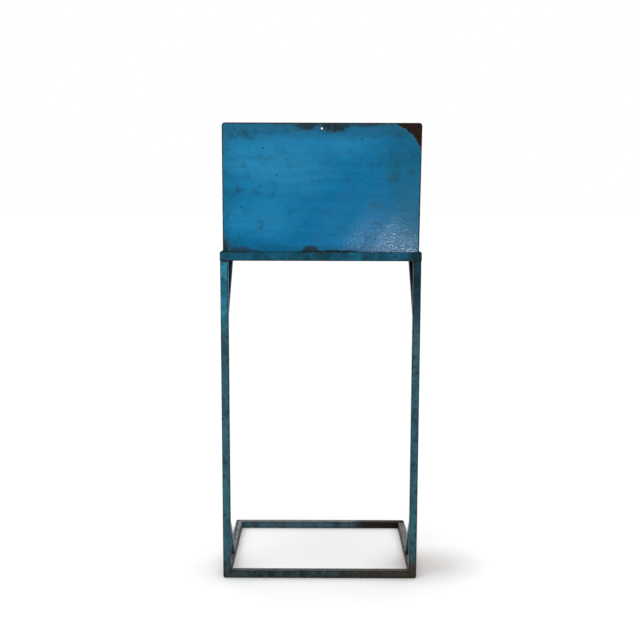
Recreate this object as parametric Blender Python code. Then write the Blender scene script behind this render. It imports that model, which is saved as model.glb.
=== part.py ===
"""Sheet-steel mailbox bolted into a cantilevered stand of welded square bar.

Frame: +Z up, origin on the floor under the middle of the outline. -Y is the back, where the two
legs stand and the box shows its hanging plate; +Y is the front, with the letter slot and the lock.
Everything is in metres.
"""

import math

import bmesh
import bpy
from mathutils import Vector

GAP = 0.0003     # left between pieces that touch
MITRE = 0.75 * GAP
THROUGH = 0.01   # how far a drill reaches each way

# Stand: 3/4-inch square bar, and a cradle of 7/8-inch angle
WIDTH = 0.495
DEPTH = 0.392
BAR = 0.019
CORNER = 0.0055
CRADLE_UNDERSIDE = 0.8145
CRADLE_DEPTH = 0.320
ANGLE = 0.022
ANGLE_WALL = 0.003
UPPER_BRACE_FOOT = 0.676
LOWER_BRACE_HEAD = 0.147

# Mailbox: sheet steel
SHEET = 0.0012
PLATE = 0.0015
PLATE_TOP = 1.149
PLATE_LEFT = -0.2405
PLATE_RIGHT_FOOT = 0.2415
PLATE_RIGHT_TOP = 0.2448
PLATE_CORNER = 0.0075
HANGING_HOLE = Vector((0.002, 0, 1.1353))
HANGING_HOLE_RADIUS = 0.0025
SHELL_HALF = 0.2380
FRONT_FACE = 0.1200
LID_SLOPE = math.radians(10)
LID_AXIS = Vector((0, -0.172, 1.1125))
LID_HALF = 0.2405
LIP = 0.014

# Hinge, lock, slot and small parts
KNUCKLE = 0.003
LEAF = 0.001
HINGE_HALF = 0.180
HINGE_RIVETS = (-0.150, 0.0, 0.150)
BODY_RIVET_ALONG = -0.0095
LID_RIVET_ALONG = 0.012
KNOB_ALONG = 0.240
LOCK_AXIS = Vector((0, 0, 1.028))
LOCK_BODY = 0.0093
LOCK_HOLE = LOCK_BODY + GAP
CAM_REACH = 0.024
SLOT_HALF = 0.150
SLOT_HEIGHT = 0.036
SLOT_CENTRE = 0.968
FLAP_AXIS = Vector((0, 0.1262, 0.9945))
FLAP_CURL = 0.0023
FLAP_DROP = 0.051
FRAME_FACE = 0.0020
SLOT_RIVETS = [Vector((side * 0.1635, 0, 0.950)) for side in (-1, 1)]
LABEL_CENTRE = 0.893
LABEL_RIVETS = [Vector((side * 0.050, 0, LABEL_CENTRE)) for side in (-1, 1)]
BOLT_RADIUS = 0.00245
BOLT_HOLE = 0.0028
RIVET_HOLE = 0.0016
BOLT_X = 0.231
BOLT_Y = (-0.010, 0.095)

HALF = WIDTH / 2
REAR = -DEPTH / 2
FRONT = DEPTH / 2
LEG_BACK = REAR + BAR
CRADLE_FRONT = REAR + CRADLE_DEPTH
FLANGE_TOP = CRADLE_UNDERSIDE + ANGLE_WALL
FLOOR_BOTTOM = FLANGE_TOP + GAP
FLOOR_TOP = FLOOR_BOTTOM + SHEET
PLATE_FACE = REAR + ANGLE_WALL + 0.0005
PLATE_INSIDE = PLATE_FACE + PLATE
SHELL_BACK = PLATE_INSIDE + GAP
FRONT_INSIDE = FRONT_FACE - SHEET
LEAF_TOP = LEAF - KNUCKLE
SHEET_TOP = -KNUCKLE - GAP
SHEET_UNDER = SHEET_TOP - SHEET


# ---------------------------------------------------------------- materials


def finish(name, colour, roughness, metallic):
    """A plain Principled material."""
    material = bpy.data.materials.new(name)
    material.use_nodes = True
    shader = material.node_tree.nodes["Principled BSDF"]
    shader.inputs["Base Color"].default_value = (*colour, 1)
    shader.inputs["Roughness"].default_value = roughness
    shader.inputs["Metallic"].default_value = metallic
    return material


for leftover in list(bpy.data.objects):
    bpy.data.objects.remove(leftover)

BLUE = finish("blue_paint", (0.012, 0.165, 0.330), 0.45, 0.0)
TEAL = finish("teal_paint", (0.012, 0.105, 0.165), 0.55, 0.0)
STEEL = finish("plated_steel", (0.36, 0.35, 0.33), 0.40, 0.9)
BRASS = finish("brass", (0.55, 0.40, 0.16), 0.35, 0.9)
CARD = finish("card", (0.75, 0.70, 0.58), 0.90, 0.0)


# ---------------------------------------------------------------- shapes


def closed_mesh(name, points, faces, material, pivot=None, smooth=False):
    """An object from points in the model's frame, with its origin at the pivot."""
    pivot = Vector((0, 0, 0)) if pivot is None else pivot
    mesh = bpy.data.meshes.new(name)
    mesh.from_pydata([Vector(point) - pivot for point in points], [], faces)
    work = bmesh.new()
    work.from_mesh(mesh)
    bmesh.ops.recalc_face_normals(work, faces=work.faces)
    work.to_mesh(mesh)
    work.free()
    mesh.materials.append(material)
    if smooth:
        mesh.shade_smooth()
        mesh.set_sharp_from_angle(angle=math.radians(35))
    made = bpy.data.objects.new(name, mesh)
    made.location = pivot
    bpy.context.collection.objects.link(made)
    return made


def loft(name, loops, material, ring=False, pivot=None, smooth=False):
    """A skin over loops of equally many points: capped at both ends, or closed into a ring."""
    count = len(loops[0])
    points = [point for loop in loops for point in loop]
    faces = []
    for step in range(len(loops) if ring else len(loops) - 1):
        here, there = step * count, (step + 1) % len(loops) * count
        for k in range(count):
            after = (k + 1) % count
            faces.append((here + k, here + after, there + after, there + k))
    if not ring:
        faces.append(tuple(range(count)))
        faces.append(tuple(range((len(loops) - 1) * count, len(loops) * count)))
    return closed_mesh(name, points, faces, material, pivot, smooth)


def prism(name, outline, along, low, high, material, pivot=None):
    """An outline in the plane across an axis, carried along that axis from low to high."""
    place = {
        "X": lambda a, b, t: (t, a, b),
        "Y": lambda a, b, t: (a, t, b),
        "Z": lambda a, b, t: (a, b, t),
    }[along]
    loops = [[place(a, b, t) for a, b in outline] for t in (low, high)]
    return loft(name, loops, material, pivot=pivot)


def block(name, low, high, material, pivot=None):
    """A square-edged block between two corners."""
    outline = [(low[0], low[1]), (high[0], low[1]), (high[0], high[1]), (low[0], high[1])]
    return prism(name, outline, "Z", low[2], high[2], material, pivot)


def arc(centre, radius, start, end, steps):
    """Points along an arc in a plane, with its angles in degrees."""
    angles = [math.radians(start + (end - start) * k / steps) for k in range(steps + 1)]
    return [(centre[0] + radius * math.cos(a), centre[1] + radius * math.sin(a)) for a in angles]


def hexagon(flat):
    """Radius at each twelfth of a turn of a hexagon of this half width across its flats."""
    return [flat / math.cos(math.radians(30)) if k % 2 == 0 else flat for k in range(12)]


def loop_about(centre, axis, height, radii):
    """A loop of points round an axis, one for each radius, at a height along it."""
    axis = Vector(axis).normalized()
    side = Vector((1, 0, 0)) if abs(axis.x) < 0.9 else Vector((0, 1, 0))
    other = axis.cross(side)
    points = []
    for k, radius in enumerate(radii):
        turn = 2 * math.pi * k / len(radii)
        points.append(centre + axis * height + radius * (side * math.cos(turn) + other * math.sin(turn)))
    return points


def turned(name, profile, centre, axis, segments, material, ring=False, pivot=None):
    """A profile of (radius, height) pairs turned about an axis through the centre."""
    loops = [loop_about(centre, axis, height, [radius] * segments) for radius, height in profile]
    return loft(name, loops, material, ring, pivot, smooth=True)


def cutter(made):
    """Marks an object as a tool that only shapes others."""
    made.hide_render = True
    made.display_type = "WIRE"
    return made


def shape_with(target, operation, *tools):
    """Adds Booleans that cut the tools from the target, or join them to it."""
    for tool in tools:
        cutter(tool)
        modifier = target.modifiers.new(tool.name, "BOOLEAN")
        modifier.operation = operation
        modifier.object = tool
    return target


def drill(name, centre, axis, radius, segments=12, reach=THROUGH):
    """A round cutter that reaches this far both ways from the centre."""
    return turned(name, [(radius, -reach), (radius, reach)], centre, axis, segments, STEEL)


def on_slope(along, above, x=0.0):
    """A point given by its distance down the lid's slope from the hinge and above the pin."""
    return Vector((
        x,
        LID_AXIS.y + along * math.cos(LID_SLOPE) + above * math.sin(LID_SLOPE),
        LID_AXIS.z - along * math.sin(LID_SLOPE) + above * math.cos(LID_SLOPE),
    ))


def slope_height(y, above):
    """Height at depth y of the plane that lies this far above the hinge pin, along its normal."""
    return LID_AXIS.z + above / math.cos(LID_SLOPE) - (y - LID_AXIS.y) * math.tan(LID_SLOPE)


SLOPE_NORMAL = Vector((0, math.sin(LID_SLOPE), math.cos(LID_SLOPE)))


def rivet(name, place, outward, grip, material=STEEL, pivot=None):
    """A dome-headed rivet: its head outside at the place, its tail under this grip of sheet."""
    head, shank, tail = 0.003, 0.0015, 0.0023
    profile = [
        (0.0006, GAP + 0.0016), (0.0018, GAP + 0.0013), (0.0027, GAP + 0.0007), (head, GAP),
        (shank, GAP), (shank, -grip - GAP), (tail, -grip - GAP), (tail, -grip - GAP - 0.0009),
    ]
    return turned(name, profile, place, outward, 12, material, pivot=pivot)


# ---------------------------------------------------------------- stand


def make_legs():
    """Two uprights whose lower outer corners are ground round."""
    for side, name in ((-1, "left_leg"), (1, "right_leg")):
        outer, inner = side * HALF, side * (HALF - BAR)
        foot = arc((side * (HALF - CORNER), CORNER), CORNER, -90, 0 if side > 0 else -180, 5)
        outline = [(inner, 0), *foot, (outer, CRADLE_UNDERSIDE - GAP), (inner, CRADLE_UNDERSIDE - GAP)]
        prism(name, outline, "Y", REAR, LEG_BACK, TEAL)


def make_base():
    """The rectangle on the floor: a rear bar between the legs, two rails, and a mitred front bar."""
    inner = HALF - BAR
    block("base_rear_bar", (GAP - inner, REAR, 0), (inner - GAP, LEG_BACK, BAR), TEAL)
    for side, name in ((-1, "base_left_rail"), (1, "base_right_rail")):
        centre = (side * (HALF - CORNER), FRONT - CORNER)
        corner = arc(centre, CORNER, 90 - 45 * side, 90 - 90 * side, 3)
        corner[0] = (corner[0][0], corner[0][1] - MITRE)
        start = LEG_BACK + GAP
        outline = [
            (side * inner, start), (side * inner, FRONT - BAR - MITRE), *corner, (side * HALF, start),
        ]
        prism(name, outline, "Z", 0, BAR, TEAL)
    left = arc((CORNER - HALF, FRONT - CORNER), CORNER, 135, 90, 3)
    left[0] = (left[0][0] + MITRE, left[0][1])
    right = [(-x, y) for x, y in reversed(left)]
    inside = FRONT - BAR
    outline = [(MITRE - inner, inside), *left, *right, (inner - MITRE, inside)]
    prism("base_front_bar", outline, "Z", 0, BAR, TEAL)


def angle_iron(name, start, end, inward):
    """A length of angle between two outer corners, mitred at both ends, its flat leg turned in."""
    along = (end - start).normalized()
    section = [
        (0, 0), (ANGLE, 0), (ANGLE, ANGLE_WALL), (ANGLE_WALL, ANGLE_WALL), (ANGLE_WALL, ANGLE), (0, ANGLE),
    ]
    loops = []
    for corner, sense in ((start, 1), (end, -1)):
        loops.append([
            corner + along * sense * (depth + MITRE) + inward * depth + Vector((0, 0, height))
            for depth, height in section
        ])
    return loft(name, loops, TEAL)


def make_cradle():
    """Four angles, mitred into a frame that the box sits in, bored for its four bolts."""
    corners = [
        Vector((x, y, CRADLE_UNDERSIDE))
        for x, y in ((-HALF, REAR), (HALF, REAR), (HALF, CRADLE_FRONT), (-HALF, CRADLE_FRONT))
    ]
    angle_iron("cradle_rear_angle", corners[0], corners[1], Vector((0, 1, 0)))
    right = angle_iron("cradle_right_angle", corners[1], corners[2], Vector((-1, 0, 0)))
    angle_iron("cradle_front_angle", corners[2], corners[3], Vector((0, -1, 0)))
    left = angle_iron("cradle_left_angle", corners[3], corners[0], Vector((1, 0, 0)))
    for side, angle in ((-1, left), (1, right)):
        shape_with(angle, "DIFFERENCE", *[
            drill(f"cradle_hole_{side}_{k}", Vector((side * BOLT_X, y, FLANGE_TOP)), (0, 0, 1), BOLT_HOLE)
            for k, y in enumerate(BOLT_Y)
        ])


def make_braces():
    """Short bars at 45 degrees from the backs of the legs to the cradle and to the base rails."""
    slant = BAR * math.sqrt(2)
    top = CRADLE_UNDERSIDE - GAP
    start = LEG_BACK + GAP
    reach = start + top - UPPER_BRACE_FOOT
    upper = [(start, UPPER_BRACE_FOOT), (start, UPPER_BRACE_FOOT + slant), (reach - slant, top), (reach, top)]
    rail = BAR + GAP
    reach = start + LOWER_BRACE_HEAD - rail
    lower = [
        (start, LOWER_BRACE_HEAD - slant), (start, LOWER_BRACE_HEAD), (reach, rail), (reach - slant, rail),
    ]
    for side, name in ((-1, "left"), (1, "right")):
        for place, outline in (("upper", upper), ("lower", lower)):
            low, high = sorted((side * (HALF - BAR), side * HALF))
            prism(f"{place}_{name}_brace", outline, "X", low, high, TEAL)


# ---------------------------------------------------------------- box


def make_back_plate():
    """The hanging plate: taller and wider than the box, with round top corners and one hole."""
    low, high = FLOOR_BOTTOM, PLATE_TOP - PLATE_CORNER
    right = arc((PLATE_RIGHT_TOP - PLATE_CORNER, high), PLATE_CORNER, 0, 90, 6)
    left = arc((PLATE_LEFT + PLATE_CORNER, high), PLATE_CORNER, 90, 180, 6)
    outline = [(PLATE_LEFT, low), (PLATE_RIGHT_FOOT, low), *right, *left]
    plate = prism("back_plate", outline, "Y", PLATE_FACE, PLATE_INSIDE, BLUE)
    hole = HANGING_HOLE + Vector((0, PLATE_FACE, 0))
    shape_with(plate, "DIFFERENCE", drill("hanging_hole", hole, (0, 1, 0), HANGING_HOLE_RADIUS, 24))


def make_shell():
    """Floor and side walls bent from one sheet, with flanges against the back plate."""
    rim = SHEET_UNDER - 0.0007
    flange, flange_top = 0.012, 1.090
    floor = block(
        "box_shell", (-SHELL_HALF, SHELL_BACK, FLOOR_BOTTOM), (SHELL_HALF, FRONT_FACE, FLOOR_TOP), BLUE
    )
    wall_front = FRONT_INSIDE - GAP
    outline = [
        (SHELL_BACK, FLOOR_BOTTOM), (wall_front, FLOOR_BOTTOM),
        (wall_front, slope_height(wall_front, rim)), (SHELL_BACK, slope_height(SHELL_BACK, rim)),
    ]
    tools = []
    for side in (-1, 1):
        low, high = sorted((side * (SHELL_HALF - SHEET), side * SHELL_HALF))
        tools.append(prism(f"wall_{side}", outline, "X", low, high, BLUE))
        low, high = sorted((side * (SHELL_HALF - flange), side * SHELL_HALF))
        tools.append(block(
            f"flange_{side}", (low, SHELL_BACK, FLOOR_BOTTOM), (high, SHELL_BACK + SHEET, flange_top), BLUE
        ))
    shape_with(floor, "UNION", *tools)
    shape_with(floor, "DIFFERENCE", *[
        drill(f"floor_hole_{side}_{k}", Vector((side * BOLT_X, y, FLOOR_TOP)), (0, 0, 1), BOLT_HOLE)
        for side in (-1, 1) for k, y in enumerate(BOLT_Y)
    ])


def make_header():
    """The fixed strip behind the lid, turned down against the back plate."""
    edge = -0.0006
    inside = SHELL_BACK + SHEET
    front_top, front_under = on_slope(edge, SHEET_TOP), on_slope(edge, SHEET_UNDER)
    strip = [
        (front_top.y, front_top.z), (SHELL_BACK, slope_height(SHELL_BACK, SHEET_TOP)),
        (SHELL_BACK, slope_height(SHELL_BACK, SHEET_UNDER)), (front_under.y, front_under.z),
    ]
    top = slope_height(inside, SHEET_TOP) - SHEET / 2
    header = prism("header_strip", strip, "X", -SHELL_HALF, SHELL_HALF, BLUE)
    reach = SHELL_HALF - SHEET - 2 * GAP
    turned_down = block(
        "header_flange", (-reach, SHELL_BACK, top - 0.016), (reach, inside, top), BLUE
    )
    shape_with(header, "UNION", turned_down)
    shape_with(header, "DIFFERENCE", *[
        drill(f"header_hole_{k}", on_slope(BODY_RIVET_ALONG, 0, x), SLOPE_NORMAL, RIVET_HOLE)
        for k, x in enumerate(HINGE_RIVETS)
    ])


def make_front_wall():
    """The front: a pan whose side flanges tuck inside the shell, pierced for letters and lock."""
    outer, tuck = SHELL_HALF, SHELL_HALF - SHEET - GAP
    back = FRONT_FACE - 0.016
    half = [
        (outer, FRONT_FACE), (outer, FRONT_INSIDE), (tuck, FRONT_INSIDE), (tuck, back),
        (tuck - SHEET, back), (tuck - SHEET, FRONT_INSIDE),
    ]
    outline = half + [(-x, y) for x, y in reversed(half)]
    top = slope_height(FRONT_FACE, SHEET_UNDER - 0.0007)
    wall = prism("front_wall", outline, "Z", FLOOR_TOP + GAP, top, BLUE)
    low, high = SLOT_CENTRE - SLOT_HEIGHT / 2, SLOT_CENTRE + SLOT_HEIGHT / 2
    slot = block(
        "slot_cut", (-SLOT_HALF, FRONT_INSIDE - 0.01, low), (SLOT_HALF, FRONT_FACE + 0.01, high), BLUE
    )
    at_face = Vector((0, FRONT_FACE, 0))
    tools = [slot, drill("lock_cut", LOCK_AXIS + at_face, (0, 1, 0), LOCK_HOLE, 32)]
    for k, place in enumerate(SLOT_RIVETS + LABEL_RIVETS):
        tools.append(drill(f"front_hole_{k}", place + at_face, (0, 1, 0), RIVET_HOLE))
    shape_with(wall, "DIFFERENCE", *tools)


def make_lid():
    """The sloping lid: one sheet with lips down over the sides and the front."""
    edge = 0.0006
    lip_face = FRONT_FACE + 0.004
    top_back, under_back = on_slope(edge, SHEET_TOP), on_slope(edge, SHEET_UNDER - LIP + SHEET)
    front_top = slope_height(lip_face, SHEET_TOP)
    outline = [
        (top_back.y, top_back.z), (lip_face, front_top), (lip_face, front_top - LIP),
        (under_back.y, under_back.z),
    ]
    lid = prism("lid", outline, "X", -LID_HALF, LID_HALF, BLUE, LID_AXIS)
    inside = lip_face - SHEET
    back = LID_AXIS.y - 0.010
    hollow = [
        (back, slope_height(back, SHEET_UNDER)), (inside, slope_height(inside, SHEET_UNDER)),
        (inside, slope_height(inside, SHEET_UNDER) - 0.04), (back, slope_height(back, SHEET_UNDER) - 0.04),
    ]
    reach = LID_HALF - SHEET
    tools = [prism("lid_hollow", hollow, "X", -reach, reach, BLUE)]
    for k, x in enumerate(HINGE_RIVETS):
        tools.append(drill(f"lid_hole_{k}", on_slope(LID_RIVET_ALONG, 0, x), SLOPE_NORMAL, RIVET_HOLE))
    tools.append(drill("knob_hole", on_slope(KNOB_ALONG, 0), SLOPE_NORMAL, 0.0027))
    shape_with(lid, "DIFFERENCE", *tools)


# ---------------------------------------------------------------- lid hinge


def curl(centre, radius, wall, leaf, side, length, sweep=300, steps=18):
    """Outline of a rolled edge: a strip that runs off along leaf, tangent to its own eye.

    leaf is the strip's direction and side points from the strip towards the middle of the eye.
    """
    def place(along, across):
        return tuple(centre[k] + along * leaf[k] + across * side[k] for k in (0, 1))

    outside, inside = [], []
    for k in range(steps + 1):
        turn = math.radians(sweep * k / steps)
        outside.append(place(-radius * math.sin(turn), -radius * math.cos(turn)))
        inside.append(place(-(radius - wall) * math.sin(turn), -(radius - wall) * math.cos(turn)))
    return [place(length, -radius), *outside, *reversed(inside), place(length, wall - radius)]


def make_hinge():
    """A five-knuckle hinge: the box's leaf has knuckles one, three and five, the lid's the others."""
    knuckle_length = 2 * HINGE_HALF / 5
    down = Vector((math.cos(LID_SLOPE), -math.sin(LID_SLOPE)))
    up = Vector((math.sin(LID_SLOPE), math.cos(LID_SLOPE)))
    leaves = (("hinge_body_leaf", -1, 1, 0.0155, None), ("hinge_lid_leaf", 1, 0, 0.0205, LID_AXIS))
    for name, sense, first_notch, length, pivot in leaves:
        section = curl((LID_AXIS.y, LID_AXIS.z), KNUCKLE, LEAF, down * sense, up, length)
        leaf = prism(name, section, "X", -HINGE_HALF, HINGE_HALF, STEEL, pivot)
        near, far, clear = sense * (KNUCKLE + 0.0006), -sense * 0.006, 0.006
        corners = [on_slope(*at) for at in ((near, -clear), (near, clear), (far, clear), (far, -clear))]
        notches = []
        for k in range(first_notch, 5, 2):
            low = -HINGE_HALF + k * knuckle_length - (GAP if k else 0.01)
            high = -HINGE_HALF + (k + 1) * knuckle_length + (GAP if k < 4 else 0.01)
            notches.append(prism(f"{name}_notch_{k}", [(c.y, c.z) for c in corners], "X", low, high, STEEL))
        shape_with(leaf, "DIFFERENCE", *notches)
        along = BODY_RIVET_ALONG if sense < 0 else LID_RIVET_ALONG
        shape_with(leaf, "DIFFERENCE", *[
            drill(f"{name}_hole_{k}", on_slope(along, 0, x), SLOPE_NORMAL, RIVET_HOLE)
            for k, x in enumerate(HINGE_RIVETS)
        ])
        owner = "body" if sense < 0 else "lid"
        grip = LEAF_TOP - SHEET_UNDER
        for k, x in enumerate(HINGE_RIVETS):
            head = on_slope(along, LEAF_TOP, x)
            rivet(f"hinge_{owner}_rivet_{k + 1}", head, SLOPE_NORMAL, grip, pivot=pivot)
    pin_radius = KNUCKLE - LEAF - 0.00008
    reach = HINGE_HALF + 0.002
    turned("hinge_pin", [(pin_radius, -reach), (pin_radius, reach)], LID_AXIS, (1, 0, 0), 24, STEEL)


def make_knob():
    """A turned pull on the lid, held by a nut under the sheet."""
    foot = on_slope(KNOB_ALONG, SHEET_TOP)
    profile = [
        (0.0025, -0.0075), (0.0025, GAP), (0.0080, GAP), (0.0080, 0.0015), (0.0050, 0.0030),
        (0.0045, 0.0080), (0.0075, 0.0105), (0.0105, 0.0125), (0.0110, 0.0150), (0.0095, 0.0175),
        (0.0050, 0.0190), (0.0010, 0.0193),
    ]
    turned("lid_knob", profile, foot, SLOPE_NORMAL, 24, STEEL, pivot=LID_AXIS)
    nut("knob_nut", foot - SLOPE_NORMAL * (SHEET + GAP), -SLOPE_NORMAL, 0.0040, 0.0026, 0.0032, LID_AXIS)


def nut(name, foot, axis, flat, bore, height, pivot=None):
    """A plain hexagon nut standing on its foot."""
    loops = []
    sides, inside = hexagon(flat), [bore] * 12
    for radii, at in ((sides, 0), (sides, height), (inside, height), (inside, 0)):
        loops.append(loop_about(foot, axis, at, radii))
    return loft(name, loops, STEEL, ring=True, pivot=pivot)


# ---------------------------------------------------------------- lock


def make_lock():
    """A cam lock: barrel and nut on the front wall, a turning plug that carries the cam."""
    outside = Vector((0, FRONT_FACE, 0)) + LOCK_AXIS
    out = (0, 1, 0)
    bore, body, flange = 0.00565, LOCK_BODY, 0.0120
    barrel = [
        (flange - 0.001, GAP + 0.0030), (flange, GAP + 0.0020), (flange, GAP), (body, GAP), (body, -0.0220),
        (bore, -0.0220), (bore, GAP + 0.0030),
    ]
    turned("lock_barrel", barrel, outside, out, 32, BRASS, ring=True)
    nut_bore, nut_top, nut_foot = body + 0.0005, -SHEET - GAP, -SHEET - 0.0043
    loops = []
    sides, inside = hexagon(0.012), [nut_bore] * 12
    for radii, at in ((sides, nut_top), (sides, nut_foot), (inside, nut_foot), (inside, nut_top)):
        loops.append(loop_about(outside, out, at, radii))
    loft("lock_nut", loops, STEEL, ring=True)

    plug_radius, tail, screw_bore = 0.0055, 0.0035, 0.0016
    shoulder, cam_wall = -0.0232, 0.0020
    tail_end = shoulder - GAP - cam_wall - GAP
    plug = turned(
        "lock_plug",
        [
            (plug_radius - 0.0005, 0.0036), (plug_radius, 0.0031), (plug_radius, shoulder), (tail, shoulder),
            (tail, tail_end), (screw_bore, tail_end), (screw_bore, shoulder + 0.008),
        ],
        outside, out, 24, BRASS, pivot=outside,
    )
    keyway = block(
        "keyway", (-0.0007, FRONT_FACE - 0.004, LOCK_AXIS.z - 0.0036),
        (0.0007, FRONT_FACE + 0.010, LOCK_AXIS.z + 0.0036), BRASS,
    )
    shape_with(plug, "DIFFERENCE", keyway)

    hub = 0.0070
    half_width = 0.0060
    side_turn = math.degrees(math.asin(half_width / hub))
    eye = arc((0, LOCK_AXIS.z), hub, 90 + side_turn, 450 - side_turn, 16)
    tip = LOCK_AXIS.z + CAM_REACH
    outline = [*eye, (half_width, tip - 0.003), (half_width - 0.003, tip), (0.003 - half_width, tip)]
    outline.append((-half_width, tip - 0.003))
    back = FRONT_FACE + shoulder - GAP - cam_wall
    cam = prism("lock_cam", outline, "Y", back, back + cam_wall, STEEL, outside)
    hole = Vector((0, back, LOCK_AXIS.z))
    shape_with(cam, "DIFFERENCE", drill("cam_hole", hole, out, tail + 0.0001, 24))
    head = [
        (0.0052, tail_end - 0.0022), (0.0052, tail_end - GAP), (0.0015, tail_end - GAP),
        (0.0015, shoulder + 0.006),
    ]
    turned("cam_screw", head, outside, out, 16, STEEL, pivot=outside)


def make_catch():
    """A strip down from the lid whose foot turns back under the cam."""
    left, right = -0.031, -0.018
    face = FRONT_FACE - 0.017
    wall = 0.0015
    foot = LOCK_AXIS.z - 0.0085
    heel = FRONT_FACE - 0.032
    root = face - 0.012
    rise = SHEET_UNDER - GAP
    outline = [
        (face, slope_height(face, rise)), (face, foot), (heel, foot), (heel, foot + wall),
        (face - wall, foot + wall), (face - wall, slope_height(face - wall, rise) - wall),
        (root, slope_height(root, rise) - wall), (root, slope_height(root, rise)),
    ]
    prism("lid_catch", outline, "X", left, right, STEEL, LID_AXIS)


# ---------------------------------------------------------------- letter slot and label


def make_slot():
    """A frame round the slot, with ears that hold the rod of a hanging flap."""
    low, high = 0.940, 1.004
    half = SLOT_HALF + 0.021
    base = FRONT_FACE + GAP
    face = base + FRAME_FACE
    frame = block("slot_frame", (-half, base, low), (half, face, high), BLUE)
    window = block(
        "window_cut", (-SLOT_HALF, base - 0.01, SLOT_CENTRE - SLOT_HEIGHT / 2),
        (SLOT_HALF, face + 0.02, SLOT_CENTRE + SLOT_HEIGHT / 2), BLUE,
    )
    ears = []
    for side in (-1, 1):
        near, far = sorted((side * 0.1575, side * 0.1595))
        profile = [
            (base + 0.0005, FLAP_AXIS.z - 0.0045), (FLAP_AXIS.y, FLAP_AXIS.z - 0.0035),
            *arc((FLAP_AXIS.y, FLAP_AXIS.z), 0.0035, -90, 90, 6)[1:], (base + 0.0005, FLAP_AXIS.z + 0.0045),
        ]
        ears.append(prism(f"ear_{side}", profile, "X", near, far, BLUE))
    shape_with(frame, "UNION", *ears)
    holes = [drill("rod_cut", FLAP_AXIS, (1, 0, 0), 0.0013, 16, 0.2)]
    for k, place in enumerate(SLOT_RIVETS):
        holes.append(drill(f"frame_hole_{k}", place + Vector((0, face, 0)), (0, 1, 0), RIVET_HOLE))
    shape_with(frame, "DIFFERENCE", window, *holes)
    turned("flap_rod", [(0.0012, -0.1625), (0.0012, 0.1625)], FLAP_AXIS, (1, 0, 0), 16, STEEL)
    for k, place in enumerate(SLOT_RIVETS):
        rivet(f"slot_rivet_{k + 1}", place + Vector((0, face, 0)), (0, 1, 0), face - FRONT_INSIDE)

    wall = FLAP_CURL - 0.0013
    outline = curl((FLAP_AXIS.y, FLAP_AXIS.z), FLAP_CURL, wall, (0, -1), (1, 0), FLAP_DROP)
    bottom = FLAP_AXIS.z - FLAP_DROP
    back, front = FLAP_AXIS.y - FLAP_CURL, FLAP_AXIS.y - FLAP_CURL + wall
    outline[0] = (back, bottom)
    outline[-1] = (front, bottom + wall)
    outline += [(front + 0.006, bottom + 0.0035), (front + 0.006, bottom + 0.0025)]
    prism("slot_flap", outline, "X", -0.1565, 0.1565, BLUE, FLAP_AXIS)


def make_label():
    """A pressed frame that holds a card, fixed by a rivet at each end."""
    base = FRONT_FACE + GAP
    face = base + 0.0022
    frame = block(
        "label_frame", (-0.056, base, LABEL_CENTRE - 0.018), (0.056, face, LABEL_CENTRE + 0.018), STEEL
    )
    recess = block(
        "card_recess", (-0.0420, base - 0.01, LABEL_CENTRE - 0.0140),
        (0.0420, base + 0.0012, LABEL_CENTRE + 0.0140), STEEL,
    )
    window = block(
        "card_window", (-0.0390, base - 0.01, LABEL_CENTRE - 0.0110),
        (0.0390, face + 0.01, LABEL_CENTRE + 0.0110), STEEL,
    )
    holes = [
        drill(f"label_hole_{k}", place + Vector((0, face, 0)), (0, 1, 0), RIVET_HOLE)
        for k, place in enumerate(LABEL_RIVETS)
    ]
    shape_with(frame, "DIFFERENCE", recess, window, *holes)
    block(
        "label_card", (-0.0415, base + GAP, LABEL_CENTRE - 0.0135),
        (0.0415, base + GAP + 0.0005, LABEL_CENTRE + 0.0135), CARD,
    )
    for k, place in enumerate(LABEL_RIVETS):
        rivet(f"label_rivet_{k + 1}", place + Vector((0, face, 0)), (0, 1, 0), face - FRONT_INSIDE)


# ---------------------------------------------------------------- bolts


def make_bolts():
    """Four bolts down through the floor and the cradle, each with a washer and a nut."""
    number = 0
    for side in (-1, 1):
        for y in BOLT_Y:
            number += 1
            foot = Vector((side * BOLT_X, y, FLOOR_TOP + GAP))
            washer_top = 0.0010
            profile = [(0.0050, 0), (0.0050, washer_top), (0.0027, washer_top), (0.0027, 0)]
            turned(f"washer_{number}", profile, foot, (0, 0, 1), 16, STEEL, ring=True)
            seat = washer_top + GAP
            under = CRADLE_UNDERSIDE - GAP
            nut(f"nut_{number}", Vector((foot.x, foot.y, under)), (0, 0, -1), 0.0040, 0.0026, 0.0040)
            loops = []
            head, shank = hexagon(0.0040), [BOLT_RADIUS] * 12
            for radii, at in (
                (hexagon(0.0038), seat + 0.0035), (head, seat + 0.0032), (head, seat), (shank, seat),
                (shank, under - foot.z - 0.0055),
            ):
                loops.append(loop_about(foot, (0, 0, 1), at, radii))
            loft(f"bolt_{number}", loops, STEEL)


make_legs()
make_base()
make_cradle()
make_braces()
make_back_plate()
make_shell()
make_header()
make_front_wall()
make_lid()
make_hinge()
make_knob()
make_lock()
make_catch()
make_slot()
make_label()
make_bolts()
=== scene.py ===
import math

import bmesh
import bpy
import numpy as np
from mathutils import Matrix, Vector


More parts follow.
